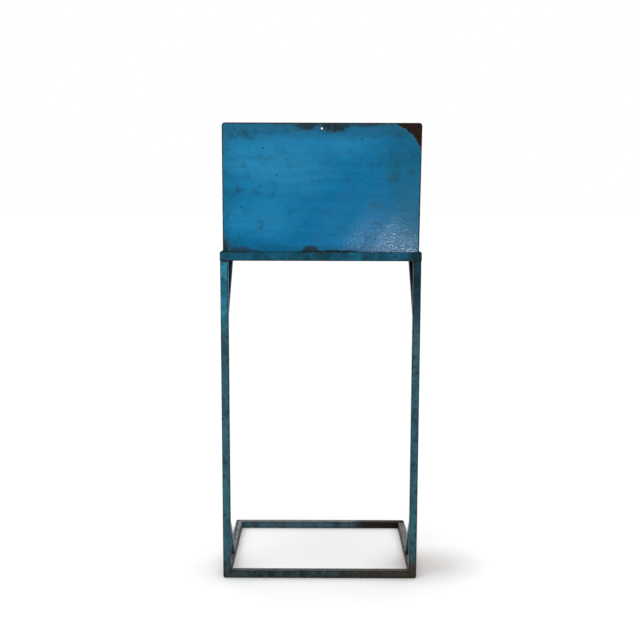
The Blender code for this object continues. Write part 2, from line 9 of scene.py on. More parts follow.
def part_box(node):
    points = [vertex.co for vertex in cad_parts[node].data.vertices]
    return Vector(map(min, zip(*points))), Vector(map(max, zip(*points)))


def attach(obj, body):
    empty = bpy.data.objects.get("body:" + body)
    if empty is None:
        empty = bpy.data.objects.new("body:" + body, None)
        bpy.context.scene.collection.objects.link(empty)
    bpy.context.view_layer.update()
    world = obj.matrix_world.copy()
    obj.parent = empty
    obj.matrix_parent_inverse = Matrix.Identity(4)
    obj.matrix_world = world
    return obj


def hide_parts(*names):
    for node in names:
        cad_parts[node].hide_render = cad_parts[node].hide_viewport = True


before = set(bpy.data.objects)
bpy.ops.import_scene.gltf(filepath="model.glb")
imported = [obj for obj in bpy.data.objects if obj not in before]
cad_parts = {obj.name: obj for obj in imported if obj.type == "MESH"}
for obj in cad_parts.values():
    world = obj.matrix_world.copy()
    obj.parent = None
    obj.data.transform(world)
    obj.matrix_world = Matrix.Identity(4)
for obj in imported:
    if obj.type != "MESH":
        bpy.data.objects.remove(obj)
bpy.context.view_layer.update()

# ------ studio
# A pale seamless floor under an even white room. One soft light stands to the left of the object's
# back, and a small one low on the right leaves a glint in the paint. The camera looks at the back.

FLOOR_HALF = 40.0
FLOOR_END = -3.3         # the floor's edge, behind the eye
CAMERA_PLACE = (0.00275, -2.5852, 0.9867)
CAMERA_DOWN = 0.1324     # radians, as are the turn and the roll
CAMERA_TURN = 0.0017
CAMERA_ROLL = 0.0029
CAMERA_LENS = 54.748
ROOM_TONE = 1.0


class Field:
    """A value, colour or place worked out by shader nodes, which arithmetic joins to others."""

    def __init__(self, socket):
        self.socket = socket
        self.tree = socket.id_data

    def __add__(self, other):
        return calc("ADD", self, other)

    def __sub__(self, other):
        return calc("SUBTRACT", self, other)

    def __rsub__(self, other):
        return calc("SUBTRACT", other, self)

    def __mul__(self, other):
        return calc("MULTIPLY", self, other)

    def __truediv__(self, other):
        return calc("DIVIDE", self, other)

    def __pow__(self, other):
        return calc("POWER", self, other)

    def __abs__(self):
        return calc("ABSOLUTE", self)


def join(value, socket):
    """Links a field to a socket, or sets the socket to a plain value; None leaves it alone."""
    if isinstance(value, Field):
        value.tree.links.new(value.socket, socket)
    elif value is not None:
        socket.default_value = value


def node(kind, *inputs, tree=None, pick=0, **settings):
    """One output of a new shader node: settings are its properties, inputs are in its own order."""
    tree = tree or next(value.tree for value in inputs if isinstance(value, Field))
    made = tree.nodes.new("ShaderNode" + kind)
    for key, value in settings.items():
        setattr(made, key, value)
    for socket, value in zip(made.inputs, inputs):
        join(value, socket)
    return Field(made.outputs[pick])


def calc(operation, *inputs):
    """The result of one Math node."""
    return node("Math", *inputs, operation=operation)


def larger(first, second):
    """The larger of two values."""
    return calc("MAXIMUM", first, second)


def ramp(value, low, high, start=0.0, end=1.0):
    """A smooth step: start where the value is under low, end where it is over high."""
    return node("MapRange", value, low, high, start, end, interpolation_type="SMOOTHSTEP")


def blend(share, first, second, how="MIX"):
    """A mix of two colours by a share, which the node keeps between 0 and 1."""
    colours = [(*colour, 1) if isinstance(colour, tuple) else colour for colour in (first, second)]
    return node("Mix", share, *[None] * 5, *colours, pick=2, data_type="RGBA", blend_type=how)


def noise(place, scale, detail=3.0, rough=0.55, stretch=None, warp=0.0):
    """Noise from 0 to 1 at a place in metres; stretch scales the place along X, Y and Z first."""
    if stretch:
        place = node("VectorMath", place, stretch, operation="MULTIPLY")
    made = node("TexNoise", place, None, scale, detail, rough)
    join(warp, made.socket.node.inputs["Distortion"])
    return made


def split(place):
    """The parts of a place or direction along X, Y and Z."""
    return [Field(part) for part in node("SeparateXYZ", place).socket.node.outputs]


def spot(across, up, centre, reach):
    """How near a point is to a centre in a plane: 1 there, fading to 0 at the reach."""
    a = (across - centre[0]) / reach[0]
    b = (up - centre[1]) / reach[1]
    return ramp((a * a + b * b) ** 0.5, 1.0, 0.0)


def light_room():
    """White to the eye; as light it is bright from the front and overhead and dim from behind."""
    world = bpy.data.worlds.new("room")
    bpy.context.scene.world = world
    world.use_nodes = True
    tree = world.node_tree
    _, front, above = split(node("TexCoord", tree=tree, pick="Generated"))
    glow = ramp(front, -0.55, 0.35, 0.18, 0.70) + ramp(above, 0.10, 0.90, 0.0, 0.95)
    seen = node("LightPath", tree=tree, pick="Is Camera Ray")
    background = tree.nodes["Background"]
    join((1, 1, 1, 1), background.inputs["Color"])
    join(glow + (ROOM_TONE - glow) * seen, background.inputs["Strength"])


def add_light(name, place, target, width, height, power):
    """A soft rectangular light at a place, turned towards a target."""
    lamp = bpy.data.lights.new(name, "AREA")
    lamp.shape = "RECTANGLE"
    lamp.size = width
    lamp.size_y = height
    lamp.energy = power
    made = bpy.data.objects.new(name, lamp)
    bpy.context.collection.objects.link(made)
    made.location = place
    made.rotation_euler = (Vector(target) - Vector(place)).to_track_quat("-Z", "Y").to_euler()


def lay_floor():
    """A pale painted floor, faintly scuffed, with painted shade, greyer and warmer, around the stand's foot
    and a painted shadow to the right of its right leg.
    """
    mesh = bpy.data.meshes.new("studio_floor")
    corners = [(-FLOOR_HALF, FLOOR_END, 0), (FLOOR_HALF, FLOOR_END, 0), (FLOOR_HALF, FLOOR_HALF, 0),
               (-FLOOR_HALF, FLOOR_HALF, 0)]
    mesh.from_pydata(corners, [], [(0, 1, 2, 3)])
    floor = bpy.data.objects.new("studio_floor", mesh)
    bpy.context.collection.objects.link(floor)
    paint = bpy.data.materials.new("pale_floor")
    paint.use_nodes = True
    tree = paint.node_tree
    place = node("TexCoord", tree=tree, pick="Object")
    across, depth, _ = split(place)
    scuffs = ramp(noise(place, 3.0, 6.0, 0.6), 0.30, 0.62)
    tone = blend(scuffs, (0.895, 0.895, 0.90), (0.915, 0.915, 0.915))
    # Painted shade: the floor is painted greyer and warmer under and around the stand.
    tone = blend(spot(across, depth, (0.05, 0.01), (0.50, 0.46)), tone, (0.800, 0.780, 0.765))
    # Painted shadow: a darker grey patch to the right of the right leg, as if cast by the light on the left.
    tone = blend(spot(across, depth, (0.285, -0.10), (0.20, 0.17)) * 0.75, tone, (0.580, 0.550, 0.530))
    shader = tree.nodes["Principled BSDF"]
    join(tone, shader.inputs["Base Color"])
    join(ramp(scuffs, 0.0, 1.0, 0.62, 0.75), shader.inputs["Roughness"])
    join(0.2, shader.inputs["Specular IOR Level"])
    mesh.materials.append(paint)


def place_camera():
    """The eye stands level with the plate, square to the back, and looks a little down."""
    camera = bpy.data.objects.new("camera", bpy.data.cameras.new("camera"))
    bpy.context.collection.objects.link(camera)
    camera.data.sensor_width = 36
    camera.data.lens = CAMERA_LENS
    swing, tip, roll = (Matrix.Rotation(angle, 4, axis) for angle, axis in (
        (CAMERA_TURN, "Z"), (math.pi / 2 - CAMERA_DOWN, "X"), (CAMERA_ROLL, "Z"),
    ))
    camera.matrix_world = Matrix.Translation(CAMERA_PLACE) @ swing @ tip @ roll
    bpy.context.scene.camera = camera


light_room()
lay_floor()
place_camera()
bpy.context.scene.view_settings.view_transform = "Standard"
add_light("window", (-2.1, -2.3, 2.2), (0, -0.1, 0.75), 1.5, 1.5, 20)
add_light("low_window", (0.505, -4.01, 0.565), (0.190, -0.1925, 0.840), 0.30, 0.11, 5.0)


# ------ back plate
# The plate that the box hangs by when it is on a wall: 1.5 mm steel sheet with two round top
# corners and one small hole. Brushed blue enamel, rusted along its edges and bare at one corner.

PLATE_CORNER = 0.0075
PLATE_LEAN = 0.0033
PLATE_ROUND = 0.0005
HOLE_PLACE = np.array([0.002, 1.1353])
HOLE_RADIUS = 0.0025
ARRIS_REACH = 0.0045     # how far in from an edge its wear is recorded


def grid_faces(rows, columns, ring_rows=False, ring_columns=False):
    """Corner numbers of every cell of a grid; a ring joins its last line of points to its first."""
    i = np.arange(rows if ring_rows else rows - 1)[:, None]
    j = np.arange(columns if ring_columns else columns - 1)[None, :]
    k, m = (i + 1) % rows, (j + 1) % columns
    corners = np.broadcast_arrays(i * columns + j, i * columns + m, k * columns + m, k * columns + j)
    return np.stack(corners, axis=-1).reshape(-1, 4)


def make_piece(name, points, faces, material, nodes=(), body="root", arris=None, wall=0.0, crease=38):
    """An object at the origin from a grid of points: seams and poles merged, faces turned outward.

    arris is how near each point is to a worn edge, from 0 to 1. A wall above 0 thickens an open
    sheet inward, and its faces are then given with their outer side up.
    """
    points = np.asarray(points, float).reshape(-1, 3)
    mesh = bpy.data.meshes.new(name)
    mesh.from_pydata(points, [], [tuple(face) for face in faces])
    near = mesh.attributes.new("arris", "FLOAT", "POINT")
    near.data.foreach_set("value", np.zeros(len(points), np.float32) if arris is None else
                          np.asarray(arris, np.float32).ravel())
    work = bmesh.new()
    work.from_mesh(mesh)
    bmesh.ops.remove_doubles(work, verts=work.verts, dist=0.000004)
    bmesh.ops.dissolve_degenerate(work, edges=work.edges, dist=0.000001)
    if not wall and work.calc_volume(signed=True) < 0:
        bmesh.ops.reverse_faces(work, faces=work.faces)
    work.to_mesh(mesh)
    work.free()
    mesh.shade_smooth()
    mesh.set_sharp_from_angle(angle=math.radians(crease))
    mesh.materials.append(material)
    made = bpy.data.objects.new(name, mesh)
    bpy.context.collection.objects.link(made)
    if wall:
        thick = made.modifiers.new("wall", "SOLIDIFY")
        thick.thickness = wall
        thick.offset = -1
        thick.use_even_offset = True
    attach(made, body)
    if nodes:
        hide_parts(*nodes)


def mask_group(name, inputs, build):
    """A node group with a Place input, the named value inputs, and one mask as its output."""
    group = bpy.data.node_groups.new(name, "ShaderNodeTree")
    group.interface.new_socket("Place", in_out="INPUT", socket_type="NodeSocketVector")
    for label, value in inputs.items():
        socket = group.interface.new_socket(label, in_out="INPUT", socket_type="NodeSocketFloat")
        socket.default_value = value
    group.interface.new_socket("Mask", in_out="OUTPUT", socket_type="NodeSocketFloat")
    entry = group.nodes.new("NodeGroupInput")
    result = group.nodes.new("NodeGroupOutput")
    join(build(*[Field(value) for value in entry.outputs[:len(inputs) + 1]]), result.inputs[0])
    return group


def use_group(group, place, **values):
    """The mask of a node group at a place, with its inputs set."""
    made = place.tree.nodes.new("ShaderNodeGroup")
    made.node_tree = group
    for label, value in {"Place": place, **values}.items():
        join(value, made.inputs[label])
    return Field(made.outputs[0])


def build_edge_wear(place, arris, amount, grain):
    """Nearness to an edge plus noise, cut off sharply: broken patches that follow the arrises."""
    lifted = (noise(place, grain, 4.0, 0.65) - 0.5) * 1.6 + arris
    floor = 1.05 - amount
    return ramp(lifted, floor, floor + 0.22)


def build_pits(place, spacing, share):
    """Small round spots: cells nearer than a size that differs from cell to cell, many left empty."""
    bent = node("TexNoise", place, None, spacing * 2.0, 2.0, 0.5, pick="Color")
    shifted = node("VectorMath", bent, (0.006, 0.006, 0.006), operation="MULTIPLY")
    cells = node("TexVoronoi", node("VectorMath", place, shifted, operation="ADD"), None, spacing)
    chance = split(Field(cells.socket.node.outputs["Color"]))[0]
    return calc("LESS_THAN", cells, ramp(chance, 1.0 - share, 1.0, 0.0, 0.15))


def build_runs(place, along, across):
    """Noise drawn out along X: fine brushed streaks that come and go."""
    drawn = node("VectorMath", place, node("CombineXYZ", along, across, across), operation="MULTIPLY")
    return ramp(noise(drawn, 1.0, 5.0, 0.62), 0.25, 0.75)


edge_wear = mask_group("edge_wear", {"Arris": 0.0, "Amount": 0.4, "Grain": 180.0}, build_edge_wear)
pits = mask_group("pits", {"Spacing": 60.0, "Share": 0.2}, build_pits)
brush_runs = mask_group("brush_runs", {"Along": 6.0, "Across": 70.0}, build_runs)


def start_material(name):
    """A new material for a slot of the record, the place on the object and nearness to an edge."""
    made = bpy.data.materials.new(name)
    made.use_nodes = True
    place = node("TexCoord", tree=made.node_tree, pick="Object")
    return made, place, node("Attribute", tree=made.node_tree, pick="Fac", attribute_name="arris")


def finish_material(made, colour, roughness, height, relief, metallic=None, specular=None):
    """Joins the worked-out colour, roughness and relief, and any metal share, to the shader."""
    shader = made.node_tree.nodes["Principled BSDF"]
    bump = made.node_tree.nodes.new("ShaderNodeBump")
    join(relief, bump.inputs["Distance"])
    join(height, bump.inputs["Height"])
    join(Field(bump.outputs["Normal"]), shader.inputs["Normal"])
    join(colour, shader.inputs["Base Color"])
    join(roughness, shader.inputs["Roughness"])
    join(metallic, shader.inputs["Metallic"])
    join(specular, shader.inputs["Specular IOR Level"])
    return made


def shade(colour, tone):
    """A colour made lighter or darker by a tone, where 1 leaves it alone."""
    return blend(1.0, colour, node("CombineColor", tone, tone, tone), "MULTIPLY")


def paint_plate(corner):
    """Blue enamel with painted light, lightest at upper left, and painted shade, darker and teal to the
    right, with grime, pits and rust.
    """
    made, place, arris = start_material("plate_enamel")
    across, _, up = split(place)
    clouds = noise(place, 9.0, 5.0, 0.6, (1.0, 1.0, 1.7))
    shift = clouds - 0.5

    # Painted light: the enamel is painted lighter at the upper left, the upper middle and the lower left,
    # where the light from the left falls, over its clouding.
    painted_light = spot(across, up, (-0.11, 1.055), (0.25, 0.12))
    for centre, reach, depth in (((0.075, 1.103), (0.15, 0.05), 0.60), ((-0.150, 0.925), (0.15, 0.08), 0.55)):
        painted_light = spot(across, up, centre, reach) * depth + painted_light
    brushed = noise(place, 13.0, 6.0, 0.65, (0.6, 1.0, 2.2))
    shift = (brushed - 0.5) * 0.5 + shift
    colour = blend(shift * 0.9 + painted_light, (0.0012, 0.17, 0.372), (0.023, 0.262, 0.49))
    # The first row paints shade: darker to the right, away from the light on the left, and tealer, the
    # enamel's own tone. The others darken the top edge, the foot and the left edge.
    for along, stray, start, end, depth, tint in (
        (across, 0.16, 0.095, 0.235, 0.7, (0.006, 0.128, 0.225)),
        (up, 0.06, 1.092, 1.142, 0.7, (0.025, 0.146, 0.238)),
        (up, 0.05, 0.87, 0.832, 0.7, (0.001, 0.118, 0.24)),
        (across, 0.05, -0.2, -0.24, 0.45, (0.012, 0.14, 0.215)),
    ):
        colour = blend(ramp(shift * stray + along, start, end, 0.0, depth), colour, tint)

    runs = use_group(brush_runs, place, Along=7.0, Across=85.0)
    wide_runs = use_group(brush_runs, place, Along=3.0, Across=26.0)
    fine = ramp(noise(place, 330.0, 4.0, 0.7, (1.0, 1.0, 0.6)), 0.28, 0.72)
    colour = shade(colour, (runs + wide_runs + fine) * 0.15 + 0.78)

    smudge = ramp(noise(place, 30.0, 8.0, 0.78), 0.5, 0.68, 0.0, 0.7)
    rim = ramp(abs(across - 0.01), 0.04, 0.225, 0.34, 1.0)
    colour = blend(smudge * rim, colour, (0.012, 0.055, 0.075))

    ragged = noise(place, 75.0, 8.0, 0.72, (0.45, 1.0, 1.0))
    torn = (ragged - 0.5) * 1.7
    sag = (ragged - 0.5) * 0.045 + up
    patches = (
        ((0.032, 1.144), (0.062, 0.034), 0.12, 0.97), ((-0.038, 1.150), (0.064, 0.032), 0.15, 0.95),
        ((0.100, 1.151), (0.100, 0.022), 0.20, 0.80), ((-0.022, 0.837), (0.044, 0.024), 0.12, 1.00),
        ((-0.243, 0.845), (0.036, 0.052), 0.12, 1.00), ((0.035, 0.8365), (0.110, 0.009), 0.12, 1.00),
        ((-0.195, 0.838), (0.070, 0.022), 0.25, 0.75),
    )
    mottle = ramp(noise(place, 130.0, 6.0, 0.75), 0.3, 0.62, 0.55, 1.0)
    dirt = ramp(sag, 1.14, 1.153, 0.0, 0.75)
    for centre, reach, start, depth in patches:
        here = spot(across, up, centre, reach)
        stain = ramp(here + torn, start, start + 0.55, 0.0, depth)
        dirt = larger(dirt, stain * ramp(here, 0.0, 0.15))
    dirt = dirt * mottle
    colour = blend(dirt, colour, (0.005, 0.0075, 0.005))

    dots = use_group(pits, place, Spacing=58.0, Share=0.55)
    fine_dots = use_group(pits, place, Spacing=140.0, Share=0.38)
    dots = larger(dots, fine_dots) * 0.62
    colour = blend(dots, colour, (0.006, 0.03, 0.042))

    worn = use_group(edge_wear, place, Arris=arris, Amount=0.62, Grain=120.0)
    past = []
    for value, limit, reach in ((across, corner[0], 0.080), (up, corner[1], 0.075)):
        part = (value - (limit - reach)) / reach
        past.append(larger(part, 0.0) ** 1.7)
    edge = noise(place, 85.0, 7.0, 0.62)
    out = (edge - 0.5) * 0.34 + past[0] + past[1]
    lip = ramp(out, 0.88, 0.965, 0.0, 0.3)
    colour = blend(lip, colour, (0.055, 0.185, 0.235))
    chip = ramp(out, 0.965, 0.995)
    bare = larger(chip, worn)
    scale = noise(place, 160.0, 6.0, 0.7)
    rust = blend(ramp(scale, 0.35, 0.72), (0.003, 0.0008, 0.0004), (0.034, 0.0065, 0.003))
    thin_rust = blend(ramp(scale, 0.35, 0.72), (0.002, 0.0022, 0.0022), (0.01, 0.0075, 0.006))
    rust = blend(chip, thin_rust, rust)
    colour = blend(bare, colour, rust)

    peel = noise(place, 270.0, 1.0, 0.45)
    coarse = noise(place, 120.0, 1.0, 0.5)
    height = peel * 0.9 + coarse * 0.5
    height = runs * 0.15 + height
    height = height - bare * (scale * -0.8 + 1.0)
    height = dots * -0.6 + height
    rough = larger(bare, dirt) * 0.55 + 0.07
    grain = ramp(noise(place, 300.0, 2.0, 0.7), 0.4, 0.6, 0.0, 0.14)
    rough = clouds * 0.04 + rough + grain
    return finish_material(made, colour, rough, height, 0.00015, specular=0.24)


def arc(centre, radius, angle):
    """The points of a circle about a centre at the angles given."""
    return np.asarray(centre) + radius * np.stack([np.cos(angle), np.sin(angle)], -1)


def outline_plate(inset, low, high, steps):
    """The plate's outline drawn in by an inset, as equally many points on each side and corner."""
    radius = max(PLATE_CORNER - inset, 0.0001)
    left, right, foot, top = low.x + inset, high.x - inset, low.z + inset, high.z - inset
    turn = np.linspace(0, math.pi / 2, 9)
    share = np.linspace(0, 1, steps)
    lean = PLATE_LEAN * (1 - share)
    right_side = np.stack([right - lean, foot + (top - radius - foot) * share], 1)
    right_turn = arc((right - radius, top - radius), radius, turn)
    edge = np.stack([right - radius + (left + 2 * radius - right) * share, np.full(steps, top)], 1)
    left_turn = arc((left + radius, top - radius), radius, turn + math.pi / 2)
    left_side = np.stack([np.full(steps, left), top - radius + (foot - top + radius) * share], 1)
    base = np.stack([left + (right - PLATE_LEAN - left) * share, np.full(steps, foot)], 1)
    return np.concatenate([right_side, right_turn[1:-1], edge, left_turn[1:-1], left_side, base[1:-1]])


def make_back_plate():
    """Rows run from the hole across one face, over the rounded edge and back across the other."""
    low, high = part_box("back_plate")
    outline = outline_plate(0.0, low, high, 60)
    around = np.arctan2(outline[:, 1] - HOLE_PLACE[1], outline[:, 0] - HOLE_PLACE[0])
    rim = arc(HOLE_PLACE, HOLE_RADIUS, around)
    edge = outline_plate(PLATE_ROUND, low, high, 60)
    inner = outline_plate(ARRIS_REACH, low, high, 60)
    shares = np.concatenate([[0.0, 0.012, 0.03], np.linspace(0.08, 1, 26)])
    face = np.concatenate([rim + (inner - rim) * shares[:, None, None], edge[None]])
    turn = np.linspace(0, math.pi, 7)[1:-1]
    rounds = np.stack([outline_plate(PLATE_ROUND * (1 - math.sin(t)), low, high, 60) for t in turn])
    flat = np.concatenate([face, rounds, face[::-1]])
    middle, half = (low.y + high.y) / 2, (high.y - low.y) / 2
    depth = np.concatenate([np.full(len(face), -half), -half * np.cos(turn), np.full(len(face), half)])
    a, b = flat[..., 0], flat[..., 1]
    wave = 0.00012 * np.sin(a * 31 + 0.6) * np.sin(b * 27 + 1.1) + 0.00008 * np.sin(a * 74 - b * 43)
    points = np.stack([a, middle + depth[:, None] + wave, b], -1)
    near = np.concatenate([np.zeros(len(face) - 1), np.ones(len(turn) + 2), np.zeros(len(face) - 1)])
    arris = np.repeat(near[:, None], len(outline), 1)
    faces = grid_faces(len(points), len(outline), True, True)
    enamel = paint_plate((high.x, high.z))
    make_piece("hanging_plate", points, faces, enamel, ("back_plate",), arris=arris)


make_back_plate()


# ------ stand
# Square bar, cut and welded: two legs, a rectangle on the floor, and four slanting braces. Its blue
# paint is thin and dull, rubbed to dark steel along the arrises and to brown rust near the floor.

BAR_ROUND = 0.0012
GROUND_CORNER = 0.0055   # the legs' feet and the base's far corners
SAWN_EDGE = 0.0004
MITRE_EDGE = 0.0002
MITRE_GAP = 0.0002
ARC_STEPS = 4


def filleted(corners, radii, inset):
    """A polygon, anticlockwise, drawn in by an inset, with arcs for corners.

    Each corner gives ARC_STEPS + 1 points and each side two more, ARRIS_REACH from its ends, so
    every inset has equally many. Also gives each point's distance to the nearest corner.
    """
    corners, radii = np.asarray(corners, float), np.asarray(radii, float)
    along = np.roll(corners, -1, 0) - corners
    along /= np.linalg.norm(along, axis=1, keepdims=True)
    before = np.roll(along, 1, 0)
    inward, inward_before = (np.stack([-way[:, 1], way[:, 0]], 1) for way in (along, before))
    bisector = (inward + inward_before) / (1 + (inward * inward_before).sum(1, keepdims=True))
    swing = np.arctan2(before[:, 0] * along[:, 1] - before[:, 1] * along[:, 0], (before * along).sum(1))
    bulge = np.sign(swing)
    radius = np.maximum(radii - bulge * inset, 0.00002)
    centre = corners + bisector * (inset + bulge * radius)[:, None]
    angle = np.arctan2(inward_before[:, 1], inward_before[:, 0])[:, None]
    angle = angle + swing[:, None] * np.linspace(0, 1, ARC_STEPS + 1)
    arcs = arc(centre[:, None], -(bulge * radius)[:, None, None], angle)
    start, stop = arcs[:, -1], np.roll(arcs[:, 0], -1, 0)
    length = np.linalg.norm(stop - start, axis=1)
    share = np.minimum(ARRIS_REACH / length, 0.45)[:, None]
    sides = np.stack([start + (stop - start) * share, stop + (start - stop) * share], 1)
    reach = np.repeat(np.minimum(length[:, None] * share, ARRIS_REACH), 2, 1)
    points = np.concatenate([arcs, sides], 1).reshape(-1, 2)
    distance = np.concatenate([np.zeros((len(corners), ARC_STEPS + 1)), reach], 1).ravel()
    return points, distance


def capped_faces(rows, columns):
    """The cells of a closed tube's grid and a flat face at each of its ends."""
    last = (rows - 1) * columns
    return [*grid_faces(rows, columns, False, True), range(columns), range(last, last + columns)]


def make_bar(name, corners, radii, axis):
    """One bar: its outline carried along an axis through its CAD box, with rounded end edges.

    Rows run from one flat end, round its edge, along the side and round the other edge: each is
    the outline at an inset and a depth. Wear follows the corners and both ends.
    """
    across = "xyz".index(axis)
    low, high = (corner[across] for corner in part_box(name))
    turn = np.linspace(0, math.pi / 2, 4)
    deep = (high - low) / 2 * 0.9
    inset = np.concatenate([[BAR_ROUND + ARRIS_REACH], BAR_ROUND * (1 - np.sin(turn)), [0.0]])
    depth = np.concatenate([[0.0], BAR_ROUND * (1 - np.cos(turn)), [min(BAR_ROUND + ARRIS_REACH, deep)]])
    from_end = np.concatenate([[ARRIS_REACH], np.zeros(len(turn)), [min(ARRIS_REACH, deep - BAR_ROUND)]])
    from_end = np.concatenate([from_end, from_end[::-1]])
    level = np.concatenate([low + depth, high - depth[::-1]])
    rows = [filleted(corners, radii, value) for value in (*inset, *inset[::-1])]
    outline = np.stack([row[0] for row in rows])
    distance = np.stack([row[1] for row in rows])
    distance[[0, -1]] = ARRIS_REACH
    near = 1 - np.minimum(distance, from_end[:, None]) / ARRIS_REACH
    parts = [outline[..., 0], outline[..., 1]]
    parts.insert(across, np.broadcast_to(level[:, None], outline.shape[:2]))
    points, faces = np.stack(parts, -1), capped_faces(*outline.shape[:2])
    make_piece(f"{name}_bar", points, faces, stand_enamel, (name,), arris=near)


def upward_share(place):
    """How far a surface faces up: 1 on top, 0 on a wall, -1 underneath."""
    return split(node("TexCoord", tree=place.tree, pick="Normal"))[2]


def paint_stand():
    """Dull blue, greyer below, with scratches, grime and rust by the floor; painted light and shade on the
    legs' tops and braces, and light grey tops by the floor, partly rubbed and partly painted light.
    """
    made, place, arris = start_material("stand_enamel")
    across, depth, up = split(place)
    upward = upward_share(place)
    patches = noise(place, 34.0, 6.0, 0.65, (1.0, 1.0, 0.55))
    shift = patches - 0.5

    sag = shift * 0.25 + up
    # Painted light and shade: the legs' tops are painted light blue on the left and near black on the right,
    # as the light from the left falls on them.
    top_light_and_shade_share = ramp(ramp(across, 0.0, 0.1) * 0.02 + sag, 0.61, 0.75)
    colour = blend(ramp(patches, 0.28, 0.62), (0.01, 0.064, 0.086), (0.03, 0.122, 0.16))
    chalk = ramp(across, 0.0, 0.1) * ramp(sag, 0.5, 0.6)
    colour = blend(chalk * 0.8, colour, (0.046, 0.118, 0.158))
    top_light_and_shade = blend(ramp(patches, 0.3, 0.62), (0.004, 0.11, 0.19), (0.022, 0.245, 0.37))
    painted_shade_right = blend(ramp(patches, 0.3, 0.62), (0.0005, 0.008, 0.013), (0.0015, 0.03, 0.054))
    top_light_and_shade = blend(ramp(across, -0.05, 0.15, 0.0, 0.9), top_light_and_shade, painted_shade_right)
    colour = blend(top_light_and_shade_share, colour, top_light_and_shade)
    head = ramp(up, 0.808, 0.818)
    bar_tone = blend(ramp(patches, 0.32, 0.66), (0.0015, 0.047, 0.072), (0.004, 0.122, 0.215))
    weld_end = ramp(shift * 0.03 + across, 0.205, 0.232, 0.0, 0.85)
    bar_tone = blend(weld_end, bar_tone, (0.002, 0.016, 0.02))
    colour = blend(head, colour, bar_tone)
    # Painted shade: the upper braces behind the legs are painted near black, as they lie in shade.
    brace = ramp(depth, -0.176, -0.172) * ramp(up, 0.814, 0.812)
    brace_painted_shade = brace * ramp(up, 0.6, 0.66, 0.0, 0.92)
    colour = blend(brace_painted_shade, colour, blend(patches, (0.001, 0.002, 0.004), (0.008, 0.012, 0.02)))

    drawn = noise(place, 1.0, 5.0, 0.65, (230.0, 230.0, 30.0))
    scratch = ramp(drawn, 0.6, 0.72, 0.0, 0.35)
    colour = blend(scratch, colour, (0.105, 0.175, 0.2))
    grime = ramp(noise(place, 75.0, 6.0, 0.7), 0.5, 0.66, 0.0, 0.72)
    colour = blend(grime, colour, (0.008, 0.02, 0.024))

    low = ramp(shift * 0.05 + up, 0.075, 0.02)
    blotch = ramp(noise(place, 48.0, 6.0, 0.7), 0.36, 0.62)
    rusty = blend(blotch, (0.008, 0.009, 0.008), (0.036, 0.058, 0.062))
    rusty = blend(ramp(shift * 0.2 + across, 0.02, 0.17, 0.0, 0.9), rusty, (0.044, 0.025, 0.011))
    far = ramp(depth, 0.15, 0.17) * ramp(across, 0.13, 0.16, 1.0, 0.0)
    rusty = blend(far * ramp(patches, 0.3, 0.6), rusty, (0.05, 0.11, 0.14))
    colour = blend(low * 0.93, colour, rusty)
    # Upward faces by the floor painted light grey: partly rubbed to bare steel, partly painted light on the
    # tops.
    lit_and_rubbed_tops = ramp(upward, 0.6, 0.9) * ramp(up, 0.03, 0.022)
    lit_and_rubbed_tops = lit_and_rubbed_tops * ramp(noise(place, 22.0, 6.0, 0.7), 0.28, 0.58)
    lit_and_rubbed_tops = lit_and_rubbed_tops * ramp(depth, -0.178, -0.166, 0.12, 1.0)
    scorched = ramp(depth, 0.16, 0.175) * ramp(across, 0.08, 0.13)
    lit_and_rubbed_tops = lit_and_rubbed_tops * ramp(scorched, 0.0, 1.0, 1.0, 0.0)
    colour = blend(scorched * 0.9, colour, (0.007, 0.0045, 0.003))
    colour = blend(lit_and_rubbed_tops, colour, (0.15, 0.15, 0.152))

    worn = use_group(edge_wear, place, Arris=arris, Amount=0.3, Grain=150.0)
    scale = noise(place, 210.0, 5.0, 0.7)
    steel = blend(ramp(scale, 0.35, 0.7), (0.006, 0.005, 0.0045), (0.04, 0.03, 0.024))
    colour = blend(worn, colour, steel)
    dots = use_group(pits, place, Spacing=120.0, Share=0.3) * 0.75
    colour = blend(dots, colour, (0.012, 0.009, 0.008))

    height = scale * 0.6 + patches * 0.8
    height = height - larger(worn, dots) * 0.7
    rough = larger(worn, grime) * 0.25 + 0.46
    return finish_material(made, colour, rough, height, 0.0004, specular=0.14)


stand_enamel = paint_stand()


def make_legs():
    """Each leg's outline in X and Z, carried through its depth; its foot's outer corner is ground."""
    for name, feet in (("left_leg", (GROUND_CORNER, BAR_ROUND)), ("right_leg", (BAR_ROUND, GROUND_CORNER))):
        low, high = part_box(name)
        corners = [(low.x, low.z), (high.x, low.z), (high.x, high.z), (low.x, high.z)]
        make_bar(name, corners, [*feet, SAWN_EDGE, SAWN_EDGE], "y")


def make_base():
    """Bars laid flat: the outline in X and Y, mitred at the far corners, carried up through them."""
    low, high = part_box("base_rear_bar")
    bar = high.z
    make_bar("base_rear_bar", [low.xy, (high.x, low.y), high.xy, (low.x, high.y)], [SAWN_EDGE] * 4, "z")
    near, far = (corner.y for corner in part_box("base_front_bar"))
    cut, blunt = GROUND_CORNER * (1 - math.sqrt(0.5)), GROUND_CORNER * 0.4
    for name, side in (("base_left_rail", -1), ("base_right_rail", 1)):
        low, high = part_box(name)
        outer, inner = (low.x, high.x)[::-side]
        corners = [
            (inner, low.y), (inner, far - bar - MITRE_GAP), (outer - side * cut, far - cut - MITRE_GAP),
            (outer, far - GROUND_CORNER), (outer, low.y),
        ]
        radii = [SAWN_EDGE, MITRE_EDGE, MITRE_EDGE, blunt, SAWN_EDGE]
        make_bar(name, corners[::-side], radii[::-side], "z")
    half = high.x
    right = [(half - bar - MITRE_GAP, near), (half - cut - MITRE_GAP, far - cut), (half - GROUND_CORNER, far)]
    left = [(-x, y) for x, y in right[::-1]]
    radii = [MITRE_EDGE, MITRE_EDGE, blunt]
    make_bar("base_front_bar", [*right, *left], [*radii, *radii[::-1]], "z")


